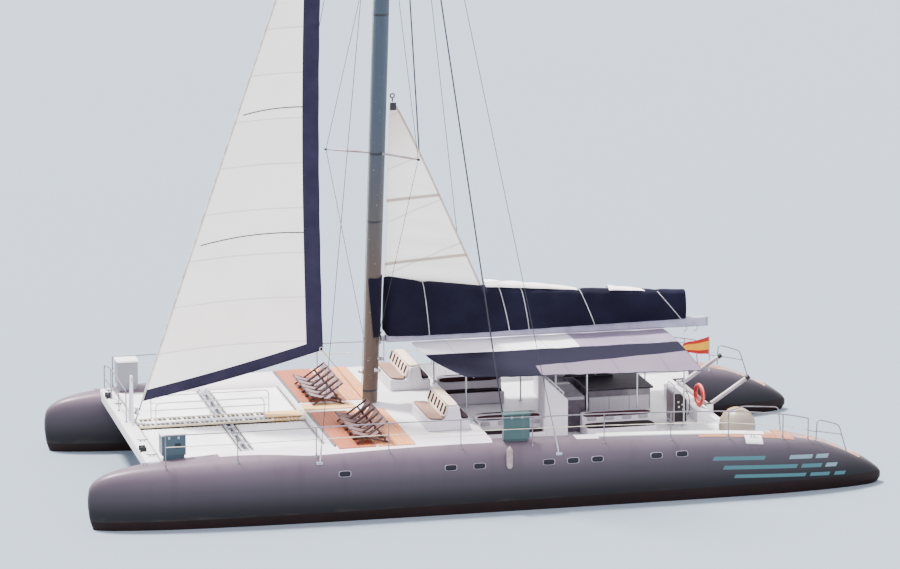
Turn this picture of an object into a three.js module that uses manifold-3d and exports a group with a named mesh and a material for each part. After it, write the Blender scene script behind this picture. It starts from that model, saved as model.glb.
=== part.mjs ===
// Sailing catamaran, 22.6 m long, afloat with her mast, sails and deck gear.
// Millimetres, +X forward, +Y to port, +Z up. The origin is on the waterline, on the
// centreline and amidships.
import * as THREE from 'three';
import { mergeVertices } from 'three/addons/utils/BufferGeometryUtils.js';
import Module from 'manifold-3d';

const wasm = await Module();
wasm.setup();

// Driving dimensions
const HULL_Y = 4470; // each hull's centreline
const GAP = 0.3; // between pieces that touch
const DECK_Z = 1950; // foredeck between the hulls
const SOLE_Z = 1300; // cockpit floor
const BRIDGE_BOTTOM_Z = 1050;
const COCKPIT_FRONT_X = 100;
const COCKPIT_AFT_X = -7500;
const FOREDECK_FRONT_X = 4520;
const WELL_OUTER_Y = 4600; // the side passage ends here, inside the gunwale
const WELL_AFT_X = -8050;

const BEAM_X = [9280, 9700]; // front beam, aft and forward face
const BEAM_TOP_Z = 1800;
const MIDDLE_BEAM_X = [6600, 6900];
const NET_Z = 1700;
const NET_THICK = 14;
const SPINE_HALF = 450;

const MAST_X = 2550;
const MAST_FOOT_Z = 2050;
const MAST_RAKE = 2; // degrees aft
const MAST_TURN = 52; // degrees, nose to the port bow
const MAST_CHORD = 750;
const MAST_THICK = 390;
const MAST_NOSE = 300; // from the turning axis to the leading edge
const HOUNDS_Z = 22600;
const MAST_HEAD_Z = 25500;
const SPREADER_Z = 9250;
const SPREADER_LENGTH = 1500;
const SPREADER_ANGLE = 77; // each side of the mast's nose
const DIAMOND_LOW_Z = 3600;
const DIAMOND_HIGH_Z = 16000;
const LUFF_BACK = 520; // from the turning axis aft to the gooseneck pin

const BOOM_Z = 3810;
const BOOM_END_X = -7600;
const BOOM_WIDE = 230;
const BOOM_HIGH = 280;

const FORESTAY_FOOT = [9330, 0, BEAM_TOP_Z + 9];
const CAP_FOOT = [-350, 4680, 1750]; // just under the deck, where the hull cuts the stay
const AFT_FOOT = [-1690, 5160, 1560];

const RUDDER_X = -8500;
const RUDDER_Z = [-1380, -620];
const SHAFT_Z = -980;
const PROP_X = -7150;

// Geometry helpers

function toSolid(geometry) {
  const bare = geometry.clone();
  bare.deleteAttribute('normal');
  bare.deleteAttribute('uv');
  const merged = mergeVertices(bare, 1e-3);
  return new wasm.Manifold(new wasm.Mesh({
    numProp: 3,
    vertProperties: new Float32Array(merged.attributes.position.array),
    triVerts: new Uint32Array(merged.index.array),
  }));
}

function toGeometry(solid) {
  const mesh = solid.getMesh();
  const geometry = new THREE.BufferGeometry();
  geometry.setAttribute('position', new THREE.BufferAttribute(mesh.vertProperties, 3));
  geometry.setIndex(new THREE.BufferAttribute(mesh.triVerts, 1));
  return geometry;
}

function join(...pieces) {
  return toGeometry(pieces.map(toSolid).reduce((whole, piece) => whole.add(piece)));
}

function cut(piece, ...tools) {
  return toGeometry(tools.map(toSolid).reduce((rest, tool) => rest.subtract(tool), toSolid(piece)));
}

function box(x, y, z) {
  const geometry = new THREE.BoxGeometry(x[1] - x[0], y[1] - y[0], z[1] - z[0]);
  return geometry.translate((x[0] + x[1]) / 2, (y[0] + y[1]) / 2, (z[0] + z[1]) / 2);
}

// A straight bar between two points, with another radius at its far end if given.
function rod(from, to, radius, sides = 6, farRadius = radius) {
  const a = new THREE.Vector3(...from);
  const b = new THREE.Vector3(...to);
  const along = b.clone().sub(a);
  const geometry = new THREE.CylinderGeometry(farRadius, radius, along.length(), sides);
  const turn = new THREE.Quaternion().setFromUnitVectors(new THREE.Vector3(0, 1, 0), along.normalize());
  geometry.applyQuaternion(turn);
  return geometry.translate((a.x + b.x) / 2, (a.y + b.y) / 2, (a.z + b.z) / 2);
}

// Straight bars through a list of points.
function bentBars(points, radius, sides = 6) {
  return points.slice(1).map((point, i) => rod(points[i], point, radius, sides));
}

// A closed body through rings of equal length, its ends closed by a fan to each ring's middle.
function loft(rings) {
  const count = rings[0].length;
  const positions = rings.flat();
  const index = [];
  for (let r = 0; r + 1 < rings.length; r += 1) {
    for (let i = 0; i < count; i += 1) {
      const a = r * count + i;
      const b = r * count + ((i + 1) % count);
      index.push(a, b, a + count, b, b + count, a + count);
    }
  }
  const lastStart = (rings.length - 1) * count;
  for (const [ring, start, flip] of [[rings[0], 0, true], [rings.at(-1), lastStart, false]]) {
    const middle = [0, 1, 2].map((k) => ring.reduce((sum, p) => sum + p[k], 0) / count);
    const centre = positions.push(middle) - 1;
    for (let i = 0; i < count; i += 1) {
      const a = start + i;
      const b = start + ((i + 1) % count);
      index.push(...(flip ? [b, a, centre] : [a, b, centre]));
    }
  }
  const geometry = new THREE.BufferGeometry();
  geometry.setAttribute('position', new THREE.BufferAttribute(new Float32Array(positions.flat()), 3));
  geometry.setIndex(index);
  return facingOut(geometry);
}

function facingOut(geometry) {
  const p = geometry.attributes.position.array;
  const index = geometry.index.array;
  const corner = (k) => new THREE.Vector3(p[index[k] * 3], p[index[k] * 3 + 1], p[index[k] * 3 + 2]);
  let volume = 0;
  for (let k = 0; k < index.length; k += 3) {
    volume += corner(k).dot(corner(k + 1).cross(corner(k + 2)));
  }
  if (volume < 0) {
    for (let k = 0; k < index.length; k += 3) [index[k], index[k + 1]] = [index[k + 1], index[k]];
  }
  return geometry;
}

// A sheet of even thickness over a grid: at(u, v) gives its middle, across its thickness vector.
function sheet(at, uSteps, vSteps, across) {
  const rings = [];
  for (let i = 0; i <= uSteps; i += 1) {
    const near = [];
    const far = [];
    for (let j = 0; j <= vSteps; j += 1) {
      const middle = at(i / uSteps, j / vSteps);
      near.push(middle.map((value, k) => value + across[k] / 2));
      far.unshift(middle.map((value, k) => value - across[k] / 2));
    }
    rings.push([...near, ...far]);
  }
  const count = rings[0].length;
  const positions = rings.flat();
  const index = [];
  for (let r = 0; r < uSteps; r += 1) {
    for (let i = 0; i < count; i += 1) {
      const a = r * count + i;
      const b = r * count + ((i + 1) % count);
      index.push(a, b, a + count, b, b + count, a + count);
    }
  }
  for (const [start, flip] of [[0, true], [uSteps * count, false]]) {
    for (let j = 0; j < vSteps; j += 1) {
      const [a, b, c, d] = [start + j, start + j + 1, start + count - 2 - j, start + count - 1 - j];
      index.push(...(flip ? [b, a, c, c, a, d] : [a, b, c, a, c, d]));
    }
  }
  const geometry = new THREE.BufferGeometry();
  geometry.setAttribute('position', new THREE.BufferAttribute(new Float32Array(positions.flat()), 3));
  geometry.setIndex(index);
  return facingOut(geometry);
}

// An outline in two of the three directions, carried along the third.
function alongX(outline, x) {
  const shape = new THREE.Shape(outline.map(([y, z]) => new THREE.Vector2(y, z)));
  const geometry = new THREE.ExtrudeGeometry(shape, { depth: x[1] - x[0], bevelEnabled: false });
  const basis = new THREE.Matrix4().makeBasis(
    new THREE.Vector3(0, 1, 0), new THREE.Vector3(0, 0, 1), new THREE.Vector3(1, 0, 0));
  return geometry.applyMatrix4(basis).translate(x[0], 0, 0);
}

function alongY(outline, y) {
  const shape = new THREE.Shape(outline.map(([x, z]) => new THREE.Vector2(x, z)));
  const geometry = new THREE.ExtrudeGeometry(shape, { depth: y[1] - y[0], bevelEnabled: false });
  const basis = new THREE.Matrix4().makeBasis(
    new THREE.Vector3(1, 0, 0), new THREE.Vector3(0, 0, 1), new THREE.Vector3(0, -1, 0));
  return geometry.applyMatrix4(basis).translate(0, y[1], 0);
}

// The same body on the other side of the boat.
function mirrored(geometry) {
  const copy = geometry.clone().scale(1, -1, 1);
  if (!copy.index) copy.setIndex([...Array(copy.attributes.position.count).keys()]);
  const index = copy.index.array;
  for (let k = 0; k < index.length; k += 3) [index[k], index[k + 1]] = [index[k + 1], index[k]];
  return copy;
}

function onSide(side, geometry) {
  return side > 0 ? geometry : mirrored(geometry);
}

const boat = new THREE.Group();

function add(name, geometry, look, parent = boat) {
  const mesh = new THREE.Mesh(geometry, new THREE.MeshStandardMaterial(look));
  mesh.name = name;
  parent.add(mesh);
  return mesh;
}

const SILVER = { color: 0x9a938f, roughness: 0.4, metalness: 0.3 };
const WHITE = { color: 0xe9eaec, roughness: 0.5, metalness: 0 };
const ALLOY = { color: 0xb4b7ba, roughness: 0.45, metalness: 0.7 };
const STEEL = { color: 0xc9ccd0, roughness: 0.25, metalness: 0.9 };
const NAVY = { color: 0x1e2438, roughness: 0.9, metalness: 0 };
const CREAM = { color: 0xece8de, roughness: 0.85, metalness: 0 };
const TEAL = { color: 0x5f8f92, roughness: 0.5, metalness: 0 };
const WOOD = { color: 0x6d2f25, roughness: 0.6, metalness: 0 };
const BRONZE = { color: 0x8c6a3a, roughness: 0.4, metalness: 0.8 };
const GREY = { color: 0x8f9296, roughness: 0.6, metalness: 0.2 };

// Hulls
// Columns: x, keel z, half beam, deck z. Each section is two quarter super-ellipses a side.
const HULL_SECTIONS = [
  [11330, 600, 40, 900],
  [11270, 200, 130, 1170],
  [11080, -220, 240, 1370],
  [10700, -470, 370, 1540],
  [10000, -620, 510, 1680],
  [9000, -720, 640, 1775],
  [7000, -790, 770, 1880],
  [4600, -840, 830, 1945],
  [1000, -870, 850, 1945],
  [-2500, -830, 850, 1890],
  [-5500, -700, 840, 1800],
  [-7800, -520, 800, 1650],
  [-9200, -370, 700, 1420],
  [-10100, -240, 560, 1090],
  [-10750, -120, 400, 760],
  [-11150, 0, 220, 480],
  [-11290, 120, 70, 320],
];
const QUARTER_ANGLES = [0, 18, 36, 54, 72, 90]; // degrees from the widest point to the top or keel
const TOP_POWER = 2 / 3.2;
const BOTTOM_POWER = 2 / 2.5;
const WAIST = 0.58; // height of the widest point between keel and deck

function hullRing([x, keel, half, deck]) {
  const waist = keel + WAIST * (deck - keel);
  const up = [];
  const down = [];
  for (const degrees of QUARTER_ANGLES) {
    const c = Math.cos(degrees * Math.PI / 180);
    const s = Math.sin(degrees * Math.PI / 180);
    up.push([Math.max(c, 0) ** TOP_POWER * half, waist + s ** TOP_POWER * (deck - waist)]);
    down.push([Math.max(c, 0) ** BOTTOM_POWER * half, waist - s ** BOTTOM_POWER * (waist - keel)]);
  }
  up.at(-1)[0] = 0;
  down.at(-1)[0] = 0;
  const right = [...up.toReversed(), ...down.slice(1)];
  const left = right.slice(1, -1).toReversed().map(([y, z]) => [-y, z]);
  return [...right, ...left].map(([y, z]) => [x, y, z]);
}

const hullForm = loft(HULL_SECTIONS.map(hullRing));

// Columns: x aft, x forward, floor z of each step down the stern.
const STERN_STEPS = [
  [-9300, -8600, 1340],
  [-9950, -9300, 1090],
  [-10600, -9950, 820],
];
const STEP_HALF = 330;

// A low keel, the skeg over the shaft and the rudder's bearing pad, all one with the hull.
const keelFin = loft([
  [1900, -700, 90], [1500, -1480, 60], [-1500, -1520, 60], [-2000, -700, 90],
].map(([x, z, half]) => [[x, half, z], [x, half, -500], [x, -half, -500], [x, -half, z]]));
const shaftSkeg = alongY(
  [[-3600, -600], [-5300, -600], [-5300, SHAFT_Z - 60], [-4900, SHAFT_Z - 60]], [-50, 50]);
const sternTube = rod([-4900, 0, SHAFT_Z], [-5300 - 60, 0, SHAFT_Z], 60, 12);
const strut = alongY([[-6700, -400], [-6900, -400], [-6900, SHAFT_Z], [-6700, SHAFT_Z]], [-14, 14]);
const strutBarrel = rod([-6680, 0, SHAFT_Z], [-6920, 0, SHAFT_Z], 62, 12);
const shaftBore = rod([-6600, 0, SHAFT_Z], [-7000, 0, SHAFT_Z], 36, 12);
const bearingPad = rod([RUDDER_X, 0, RUDDER_Z[1] + 20], [RUDDER_X, 0, -200], 80, 12);

function hull(side) {
  const shaftStrut = cut(join(strut, strutBarrel), shaftBore);
  const shell = join(hullForm, keelFin, shaftSkeg, sternTube, bearingPad, shaftStrut);
  shell.translate(0, HULL_Y, 0);
  const well = box([WELL_AFT_X, COCKPIT_FRONT_X], [2500, WELL_OUTER_Y], [SOLE_Z, 2500]);
  const steps = STERN_STEPS.map(([aft, fore, floor]) => box(
    [aft, fore], [HULL_Y - STEP_HALF, HULL_Y + STEP_HALF], [floor, 2500]));
  return onSide(side, cut(shell, well, ...steps));
}

add('port_hull', hull(1), SILVER);
add('starboard_hull', hull(-1), SILVER);

// The plain hull forms, a gap larger, cut everything that fits against the hulls.
const roomyForm = loft(HULL_SECTIONS.map(
  ([x, keel, half, deck]) => hullRing([x, keel - GAP, half + GAP, deck + GAP])));
const hullCutters = [1, -1].map((side) => onSide(side, roomyForm.clone().translate(0, HULL_Y, 0)));

function fitToHulls(piece) {
  return cut(piece, ...hullCutters);
}

// Bridge deck
const deckSlab = box([COCKPIT_FRONT_X, FOREDECK_FRONT_X], [-4150, 4150], [BRIDGE_BOTTOM_Z, DECK_Z]);
const mastStep = rod([0, 0, -200], [0, 0, -40], 330, 20, 300);
mastStep.rotateY(-MAST_RAKE * Math.PI / 180).translate(MAST_X, 0, MAST_FOOT_Z);
add('foredeck', join(fitToHulls(deckSlab), mastStep), WHITE);

const soleSlab = box([COCKPIT_AFT_X, COCKPIT_FRONT_X - GAP], [-3900, 3900], [BRIDGE_BOTTOM_Z, SOLE_Z]);
const AFT_BOX_X = [-7050, -6700];
const AFT_BOX_TOP_Z = 1640;
const DAVIT_PIN = [-7130, 1710]; // x and z of the davits' shaft
const DAVIT_HALF = 1560;
const aftBox = box(AFT_BOX_X, [-1750, 1750], [SOLE_Z - 50, AFT_BOX_TOP_Z]);
const davitLugs = [-1, 1].map((side) => box(
  [DAVIT_PIN[0] - 80, AFT_BOX_X[0] + 20],
  [side * (DAVIT_HALF + GAP + 20) - 20, side * (DAVIT_HALF + GAP + 20) + 20], [1500, 1770]));
add('cockpit_sole', join(fitToHulls(soleSlab), aftBox, ...davitLugs), WHITE);

// Beams, walkway and striker
const BEAM_HALF = 4400;
const STRIKER_X = 9415;
const STRIKER_TOP_Z = 3170;
const frontBeam = box(BEAM_X, [-BEAM_HALF, BEAM_HALF], [1430, BEAM_TOP_Z]);
const strikerLegs = [-1, 1].map((side) => rod(
  [STRIKER_X + 20, side * 330, BEAM_TOP_Z - 60], [STRIKER_X, 0, STRIKER_TOP_Z], 42, 8));
const strikerPlate = box([STRIKER_X - 25, STRIKER_X + 25], [-90, 90], [1750, STRIKER_TOP_Z]);
add('front_beam', join(fitToHulls(frontBeam), ...strikerLegs, strikerPlate), WHITE);

const RAIL_WIDE = 95;
const middleRails = [MIDDLE_BEAM_X[0], MIDDLE_BEAM_X[1] - RAIL_WIDE].map(
  (x) => box([x, x + RAIL_WIDE], [-4300, 4300], [1560, 1730]));
const MIDDLE_PLATES_Y = [-3400, -2500, -1600, -700, 700, 1600, 2500, 3400];
const middlePlates = MIDDLE_PLATES_Y.map((y) => box(
  [MIDDLE_BEAM_X[0] + 50, MIDDLE_BEAM_X[1] - 50], [y - 70, y + 70], [1600, 1715]));
add('middle_beam', fitToHulls(join(...middleRails, ...middlePlates)), ALLOY);

const SPINE_TOP_Z = 1790;
const WALK_X = [FOREDECK_FRONT_X + GAP, BEAM_X[0] - GAP];
const keelson = box(WALK_X, [-110, 110], [1733, SPINE_TOP_Z]);
const walkRails = [-1, 1].map((side) => box(
  WALK_X, [side * SPINE_HALF - 45, side * SPINE_HALF + 45], [1733, SPINE_TOP_Z]));
const RUNG_PITCH = 420;
const rungs = [];
for (let x = WALK_X[0] + 60; x < WALK_X[1]; x += RUNG_PITCH) {
  rungs.push(box([x - 40, x + 40], [-SPINE_HALF, SPINE_HALF], [1745, SPINE_TOP_Z - 5]));
}
// Columns: side, x of the aft foot, x of the forward foot of the walkway's guard rails.
const WALK_GUARDS = [
  [1, 5700, 8800],
  [-1, 5400, 8800],
];
const GUARD_HEIGHTS = [220, 430, 640];
const guardBars = WALK_GUARDS.flatMap(([side, aft, fore]) => {
  const y = side * SPINE_HALF;
  const top = SPINE_TOP_Z + GUARD_HEIGHTS[2];
  const hoop = bentBars([
    [aft, y, SPINE_TOP_Z - 20], [aft, y, top - 150], [aft + 150, y, top],
    [fore - 150, y, top], [fore, y, top - 150], [fore, y, SPINE_TOP_Z - 20]], 18);
  const lower = GUARD_HEIGHTS.slice(0, 2).map((h) => rod(
    [aft, y, SPINE_TOP_Z + h], [fore, y, SPINE_TOP_Z + h], 14));
  const middlePost = rod([(aft + fore) / 2, y, SPINE_TOP_Z - 20], [(aft + fore) / 2, y, top], 15);
  return [...hoop, ...lower, middlePost];
});
add('walkway', join(keelson, ...walkRails, ...rungs, ...guardBars), WHITE);

// Trampolines
// Columns: name, x aft, x forward.
const NETS = [
  ['fore', MIDDLE_BEAM_X[1] + GAP, BEAM_X[0] - GAP],
  ['aft', FOREDECK_FRONT_X + GAP, MIDDLE_BEAM_X[0] - GAP],
];
for (const [sideName, side] of [['port', 1], ['starboard', -1]]) {
  for (const [place, aft, fore] of NETS) {
    const net = box([aft, fore], [SPINE_HALF + 60, HULL_Y], [NET_Z - NET_THICK, NET_Z]);
    add(`trampoline_${place}_${sideName}`, onSide(side, fitToHulls(net)), WHITE);
  }
}

// Lockers with hinged lids
const WALL = 30;
function lockerBody(x, y, z) {
  const inside = box([x[0] + WALL, x[1] - WALL], [y[0] + WALL, y[1] - WALL], [z[0] + WALL, z[1] + 100]);
  return cut(box(x, y, z), inside);
}
const LID_THICK = 60;
const LID_OVER = 25;
function lockerLid(x, y, z) {
  const wider = (range) => [range[0] - LID_OVER, range[1] + LID_OVER];
  return box(wider(x), wider(y), [z[1] + GAP, z[1] + LID_THICK]);
}
const FOOT_DROP = 260; // the lockers' plinth reaches down to the sloping deck
// Columns: name, x, y, z of the box, and y of its plinth.
const LOCKERS = [
  ['port_bow_locker', [8580, 9240], [3720, 4270], [1880, 2430], [4160, 4250]],
  ['starboard_bow_locker', [8600, 9200], [-4680, -4130], [1880, 2580], [-4650, -4160]],
  ['rail_locker', [-920, -180], [4760, 4990], [1960, 2640], [4790, 4900]],
];
for (const [name, x, y, z, plinthY] of LOCKERS) {
  const plinth = fitToHulls(box([x[0] + 40, x[1] - 40], plinthY, [z[0] - FOOT_DROP, z[0] + WALL]));
  add(name, join(lockerBody(x, y, z), plinth), TEAL);
  add(`${name}_lid`, lockerLid(x, y, z), WHITE);
}

// Guard rails along each gunwale
// Columns: x, y, top z of each stanchion.
const STANCHIONS = [
  [9240, 4860, 2600],
  [7270, 4960, 2610],
  [5100, 5020, 2630],
  [3080, 5040, 2640],
  [1050, 5040, 2620],
  [-980, 5040, 2590],
  [-3030, 5040, 2560],
  [-4960, 5020, 2500],
  [-6640, 5000, 2420],
  [-8250, 4950, 2230],
  [-9020, 4860, 2050],
];
const STERN_HOOP = [
  [-9260, 4840, 1300], [-9290, 4840, 2000], [-9950, 4790, 1800], [-10230, 4730, 1150]];
const INNER_HOOP = [[-6640, 5000, 2420], [-7300, 4250, 2350], [-8370, 4130, 2240], [-8450, 4130, 1500]];
function guardRail(side) {
  const feet = 1100;
  const posts = STANCHIONS.map(([x, y, top]) => fitToHulls(rod([x, y, feet], [x, y, top], 19)));
  const tops = STANCHIONS.map(([x, y, top]) => [x, y, top]);
  const middles = STANCHIONS.map(([x, y, top]) => [x, y, top - 330]);
  const hoop = fitToHulls(join(...bentBars(STERN_HOOP, 18)));
  const hoopLink = rod([-9020, 4860, 1700], [-9270, 4840, 1640], 15);
  const hoopMiddle = rod([-9270, 4840, 1660], [-10060, 4768, 1500], 14);
  const inner = fitToHulls(join(...bentBars(INNER_HOOP, 17)));
  const wires = [...bentBars(tops, 18), ...bentBars(middles, 14)];
  return onSide(side, join(...posts, ...wires, hoop, hoopLink, hoopMiddle, inner));
}
add('port_rail', guardRail(1), STEEL);
add('starboard_rail', guardRail(-1), STEEL);

const PULPIT_X = 9560;
const PULPIT_TOP_Z = 2700;
const PULPIT_POSTS_Y = [-4340, -3000, -1500, -110];
const pulpitPosts = PULPIT_POSTS_Y.map((y) => rod(
  [PULPIT_X, y, BEAM_TOP_Z + GAP], [PULPIT_X, y, PULPIT_TOP_Z], 18));
const pulpitBars = [
  rod([PULPIT_X, -4340, 2505], [PULPIT_X, -3000, PULPIT_TOP_Z], 18),
  rod([PULPIT_X, -3000, PULPIT_TOP_Z], [PULPIT_X, -110, PULPIT_TOP_Z], 18),
  rod([PULPIT_X, -4340, 2100], [PULPIT_X, -110, 2250], 14),
];
add('bow_pulpit', join(...pulpitPosts, ...pulpitBars), STEEL);

// Cockpit furniture
const LOUNGE_OUTLINE = [
  [450, DECK_Z + GAP], [1640, DECK_Z + GAP], [1640, 2300], [1170, 2260], [1040, 2640],
  [760, 2660], [690, 2270], [450, 2260]];
// Outline across the boat: an inner bench and an outer one share a back.
const BENCH_OUTLINE = [
  [1850, SOLE_Z + GAP], [1850, 1660], [2200, 1640], [2290, 2060], [2520, 2060], [2600, 1590],
  [2990, 1620], [2990, SOLE_Z + GAP]];
const BENCH_AFT_X = -1880;
const AFT_BENCH_OUTLINE = [
  [2150, SOLE_Z + GAP], [2150, 1930], [2330, 1930], [2460, 1590], [2990, 1620], [2990, SOLE_Z + GAP]];
// Outline back from a companionway's front face.
const HATCH_OUTLINE = [[-680, SOLE_Z + GAP], [-680, 2480], [0, 3130], [0, SOLE_Z + GAP]];
// Columns: side name, side, x of the companionway's front, x of the aft bench's forward end.
const COCKPIT_SIDES = [
  ['port', 1, BENCH_AFT_X - GAP, -3100],
  ['starboard', -1, -3010, -3700],
];
for (const [sideName, side, hatchX, aftBenchX] of COCKPIT_SIDES) {
  add(`lounge_${sideName}`, onSide(side, alongY(LOUNGE_OUTLINE, [1400, 3600])), WHITE);
  add(`cockpit_bench_${sideName}`, onSide(side, alongX(BENCH_OUTLINE, [BENCH_AFT_X, 60])), WHITE);
  const hatch = alongY(HATCH_OUTLINE, [2100, 2900]).translate(hatchX, 0, 0);
  add(`companionway_${sideName}`, onSide(side, hatch), WHITE);
  add(`aft_bench_${sideName}`, onSide(side, alongX(AFT_BENCH_OUTLINE, [-5150, aftBenchX])), WHITE);
}
const COUNTER_Z = 2300;
const barBody = box([-5500, -3650], [-1000, 1000], [SOLE_Z + GAP, COUNTER_Z - 50]);
const barTop = box([-5560, -3600], [-1080, 1080], [COUNTER_Z - 70, COUNTER_Z]);
const sideCabinet = box([-3280, -2740], [-880, 1990], [SOLE_Z + GAP, 2330]);
const backShelf = box([-4800, -2800], [-900, -500], [SOLE_Z + GAP, 2520]);
add('bar', join(barBody, barTop, sideCabinet, backShelf), GREY);

const CONSOLE_OUTLINE = [
  [-6350, SOLE_Z + GAP], [-6350, 2050], [-6150, 2250], [-5950, 2250], [-5950, SOLE_Z + GAP]];
add('helm_console', alongY(CONSOLE_OUTLINE, [1100, 1900]), WHITE);

// Canopy: a cambered top, a wing down each side, and a tubular frame under each half
const CANOPY_FRONT_X = 1250;
const CANOPY_AFT_X = -6300;
const CANOPY_RIDGE_Z = 3600;
const CANOPY_HALF = 1020;
const CANOPY_THICK = 50;
const WING_THICK = 30;
const CANOPY_SHOULDER_Z = 3550;
const CANOPY_EDGE_Z = [3330, 3160]; // at the front and at the aft corner
const CANOPY_EDGE_Y = 3050;
function canopyTopAt(u, v) {
  const y = CANOPY_HALF * (2 * v - 1);
  const front = CANOPY_FRONT_X - 120 * (y / CANOPY_HALF) ** 2;
  const z = CANOPY_RIDGE_Z - (CANOPY_RIDGE_Z - CANOPY_SHOULDER_Z) * (y / CANOPY_HALF) ** 2;
  return [front + u * (CANOPY_AFT_X - front), y, z];
}
add('canopy_top', sheet(canopyTopAt, 6, 6, [0, 0, CANOPY_THICK]), WHITE);
function canopyWingAt(u, v) {
  const y = CANOPY_HALF + GAP + v * (CANOPY_EDGE_Y - CANOPY_HALF);
  const front = CANOPY_FRONT_X - 125 - 750 * v ** 1.6;
  const edge = CANOPY_EDGE_Z[0] + (CANOPY_EDGE_Z[1] - CANOPY_EDGE_Z[0]) * u;
  const z = CANOPY_SHOULDER_Z - (CANOPY_SHOULDER_Z - edge) * v ** 1.2;
  return [front + u * (CANOPY_AFT_X - 150 * v - front), y, z];
}
for (const [sideName, side] of [['port', 1], ['starboard', -1]]) {
  add(`canopy_wing_${sideName}`, onSide(side, sheet(canopyWingAt, 6, 5, [0, 0, WING_THICK])), NAVY);
}

const CANOPY_POST_Y = 2050;
const CANOPY_POSTS_X = [200, -2410, -3330, -4810, -6200];
const CANOPY_RAIL_Z = 3290;
const ARM_START_Y = 4;
const ARM_SINK = 20; // the arms' middle lies this far under the middle of the wing
const ROOM_ABOVE = 400; // what stands under the canopy is cut off below it
function underCanopy(piece) {
  const aboveTop = sheet(canopyTopAt, 6, 6, [0, 0, ROOM_ABOVE]);
  const aboveWing = sheet(canopyWingAt, 6, 5, [0, 0, ROOM_ABOVE]);
  aboveTop.translate(0, 0, (ROOM_ABOVE - CANOPY_THICK) / 2 - GAP);
  aboveWing.translate(0, -GAP, (ROOM_ABOVE - WING_THICK) / 2 - GAP);
  return cut(piece, aboveTop, aboveWing);
}
function canopyFrame(side) {
  const footZ = (x) => (x > COCKPIT_FRONT_X ? DECK_Z : SOLE_Z) + GAP;
  const posts = CANOPY_POSTS_X.map((x) => rod(
    [x, CANOPY_POST_Y, footZ(x)], [x, CANOPY_POST_Y, CANOPY_RAIL_Z + 200], 25));
  const rail = rod([300, CANOPY_POST_Y, CANOPY_RAIL_Z], [-6280, CANOPY_POST_Y, CANOPY_RAIL_Z], 28);
  const wingHeight = (x, v) => {
    const front = canopyWingAt(0, v)[0];
    const aft = canopyWingAt(1, v)[0];
    return canopyWingAt((front - x) / (front - aft), v)[2] - ARM_SINK;
  };
  const arms = CANOPY_POSTS_X.flatMap((x) => bentBars([
    [x, ARM_START_Y, CANOPY_RIDGE_Z - 36], [x, 980, CANOPY_SHOULDER_Z - 30],
    [x, CANOPY_POST_Y, wingHeight(x, 0.5)], [x, CANOPY_EDGE_Y - 60, wingHeight(x, 0.97)]], 24));
  return onSide(side, underCanopy(join(...posts, rail, ...arms)));
}
add('canopy_frame_port', canopyFrame(1), STEEL);
add('canopy_frame_starboard', canopyFrame(-1), STEEL);

// Rows of low wooden deck chairs on the foredeck, facing forward, lashed side by side
const CHAIRS = 5;
const CHAIR_PITCH = 550;
// Columns: aft and up of each end of a side frame's two long bars and its prop.
const CHAIR_BARS = [
  [0, 300, 1000, 0],
  [60, 0, 950, 640],
  [640, 440, 900, 60],
];
// Columns: aft and up of the cross bars that carry the slings.
const CHAIR_CROSS = [[20, 294], [930, 626], [560, 130]];
function chairRow(frontX, fromY) {
  const at = (aft, y, high) => [frontX - aft, y, DECK_Z + high];
  const bars = [];
  for (let n = 0; n <= CHAIRS; n += 1) {
    const y = fromY + n * CHAIR_PITCH;
    for (const [a, aUp, b, bUp] of CHAIR_BARS) bars.push(rod(at(a, y, aUp), at(b, y, bUp), 26, 4));
  }
  for (const [aft, high] of CHAIR_CROSS) {
    bars.push(rod(at(aft, fromY - 20, high), at(aft, fromY + CHAIRS * CHAIR_PITCH + 20, high), 22, 4));
  }
  const floor = box([0, 6000], [-6000, 6000], [DECK_Z - 500, DECK_Z + GAP]);
  return fitToHulls(cut(join(...bars), floor));
}
add('deck_chairs_port', chairRow(3950, 1850), WOOD);
add('deck_chairs_starboard', chairRow(4250, -2850), WOOD);

// Aft deck gear
const raftProfile = [[0, 0], [460, 0], [508, 90], [525, 290], [470, 520], [320, 690], [140, 780], [0, 800]];
const raft = new THREE.LatheGeometry(raftProfile.map(([r, z]) => new THREE.Vector2(r, z)), 20);
const RAFT_AT = [-7400, 3350];
raft.rotateX(Math.PI / 2).translate(...RAFT_AT, SOLE_Z + GAP);
add('life_raft', raft, WHITE);

const STAFF = [-8740, -3950];
const staff = fitToHulls(rod([...STAFF, 1200], [...STAFF, 2560], 20, 8));
const FLAG_FLY = 820;
const FLAG_HOIST = [1950, 2490];
const flagAt = (u, v) => [
  STAFF[0] + 10 + FLAG_FLY * u, STAFF[1] + 50 * Math.sin(u * 6),
  FLAG_HOIST[1] - 200 * u - v * (FLAG_HOIST[1] - FLAG_HOIST[0] - 270 * u)];
const flag = sheet(flagAt, 8, 2, [0, 16, 0]);
add('flagstaff', join(staff, flag), { color: 0xc23b2c, roughness: 0.8, metalness: 0 });

const BUOY_R = 275;
const BUOY_TUBE = 62;
const BUOY_AT = [-6925, 1150];
const BUOY_TURN = 0.12; // radians from facing aft
const lifebuoy = new THREE.TorusGeometry(BUOY_R, BUOY_TUBE, 8, 18).rotateY(Math.PI / 2).rotateZ(BUOY_TURN);
lifebuoy.translate(...BUOY_AT, AFT_BOX_TOP_Z + GAP + BUOY_R + BUOY_TUBE);
add('lifebuoy', lifebuoy, { color: 0xd0402f, roughness: 0.6, metalness: 0 });

const davitArms = [-1, 1].map((side) => rod(
  [DAVIT_PIN[0], side * 1400, DAVIT_PIN[1]], [-8345, side * 1400, 2510], 70, 10));
const davitShaft = rod(
  [DAVIT_PIN[0], -DAVIT_HALF, DAVIT_PIN[1]], [DAVIT_PIN[0], DAVIT_HALF, DAVIT_PIN[1]], 60, 10);
add('davits', join(...davitArms, davitShaft), ALLOY);

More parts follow.
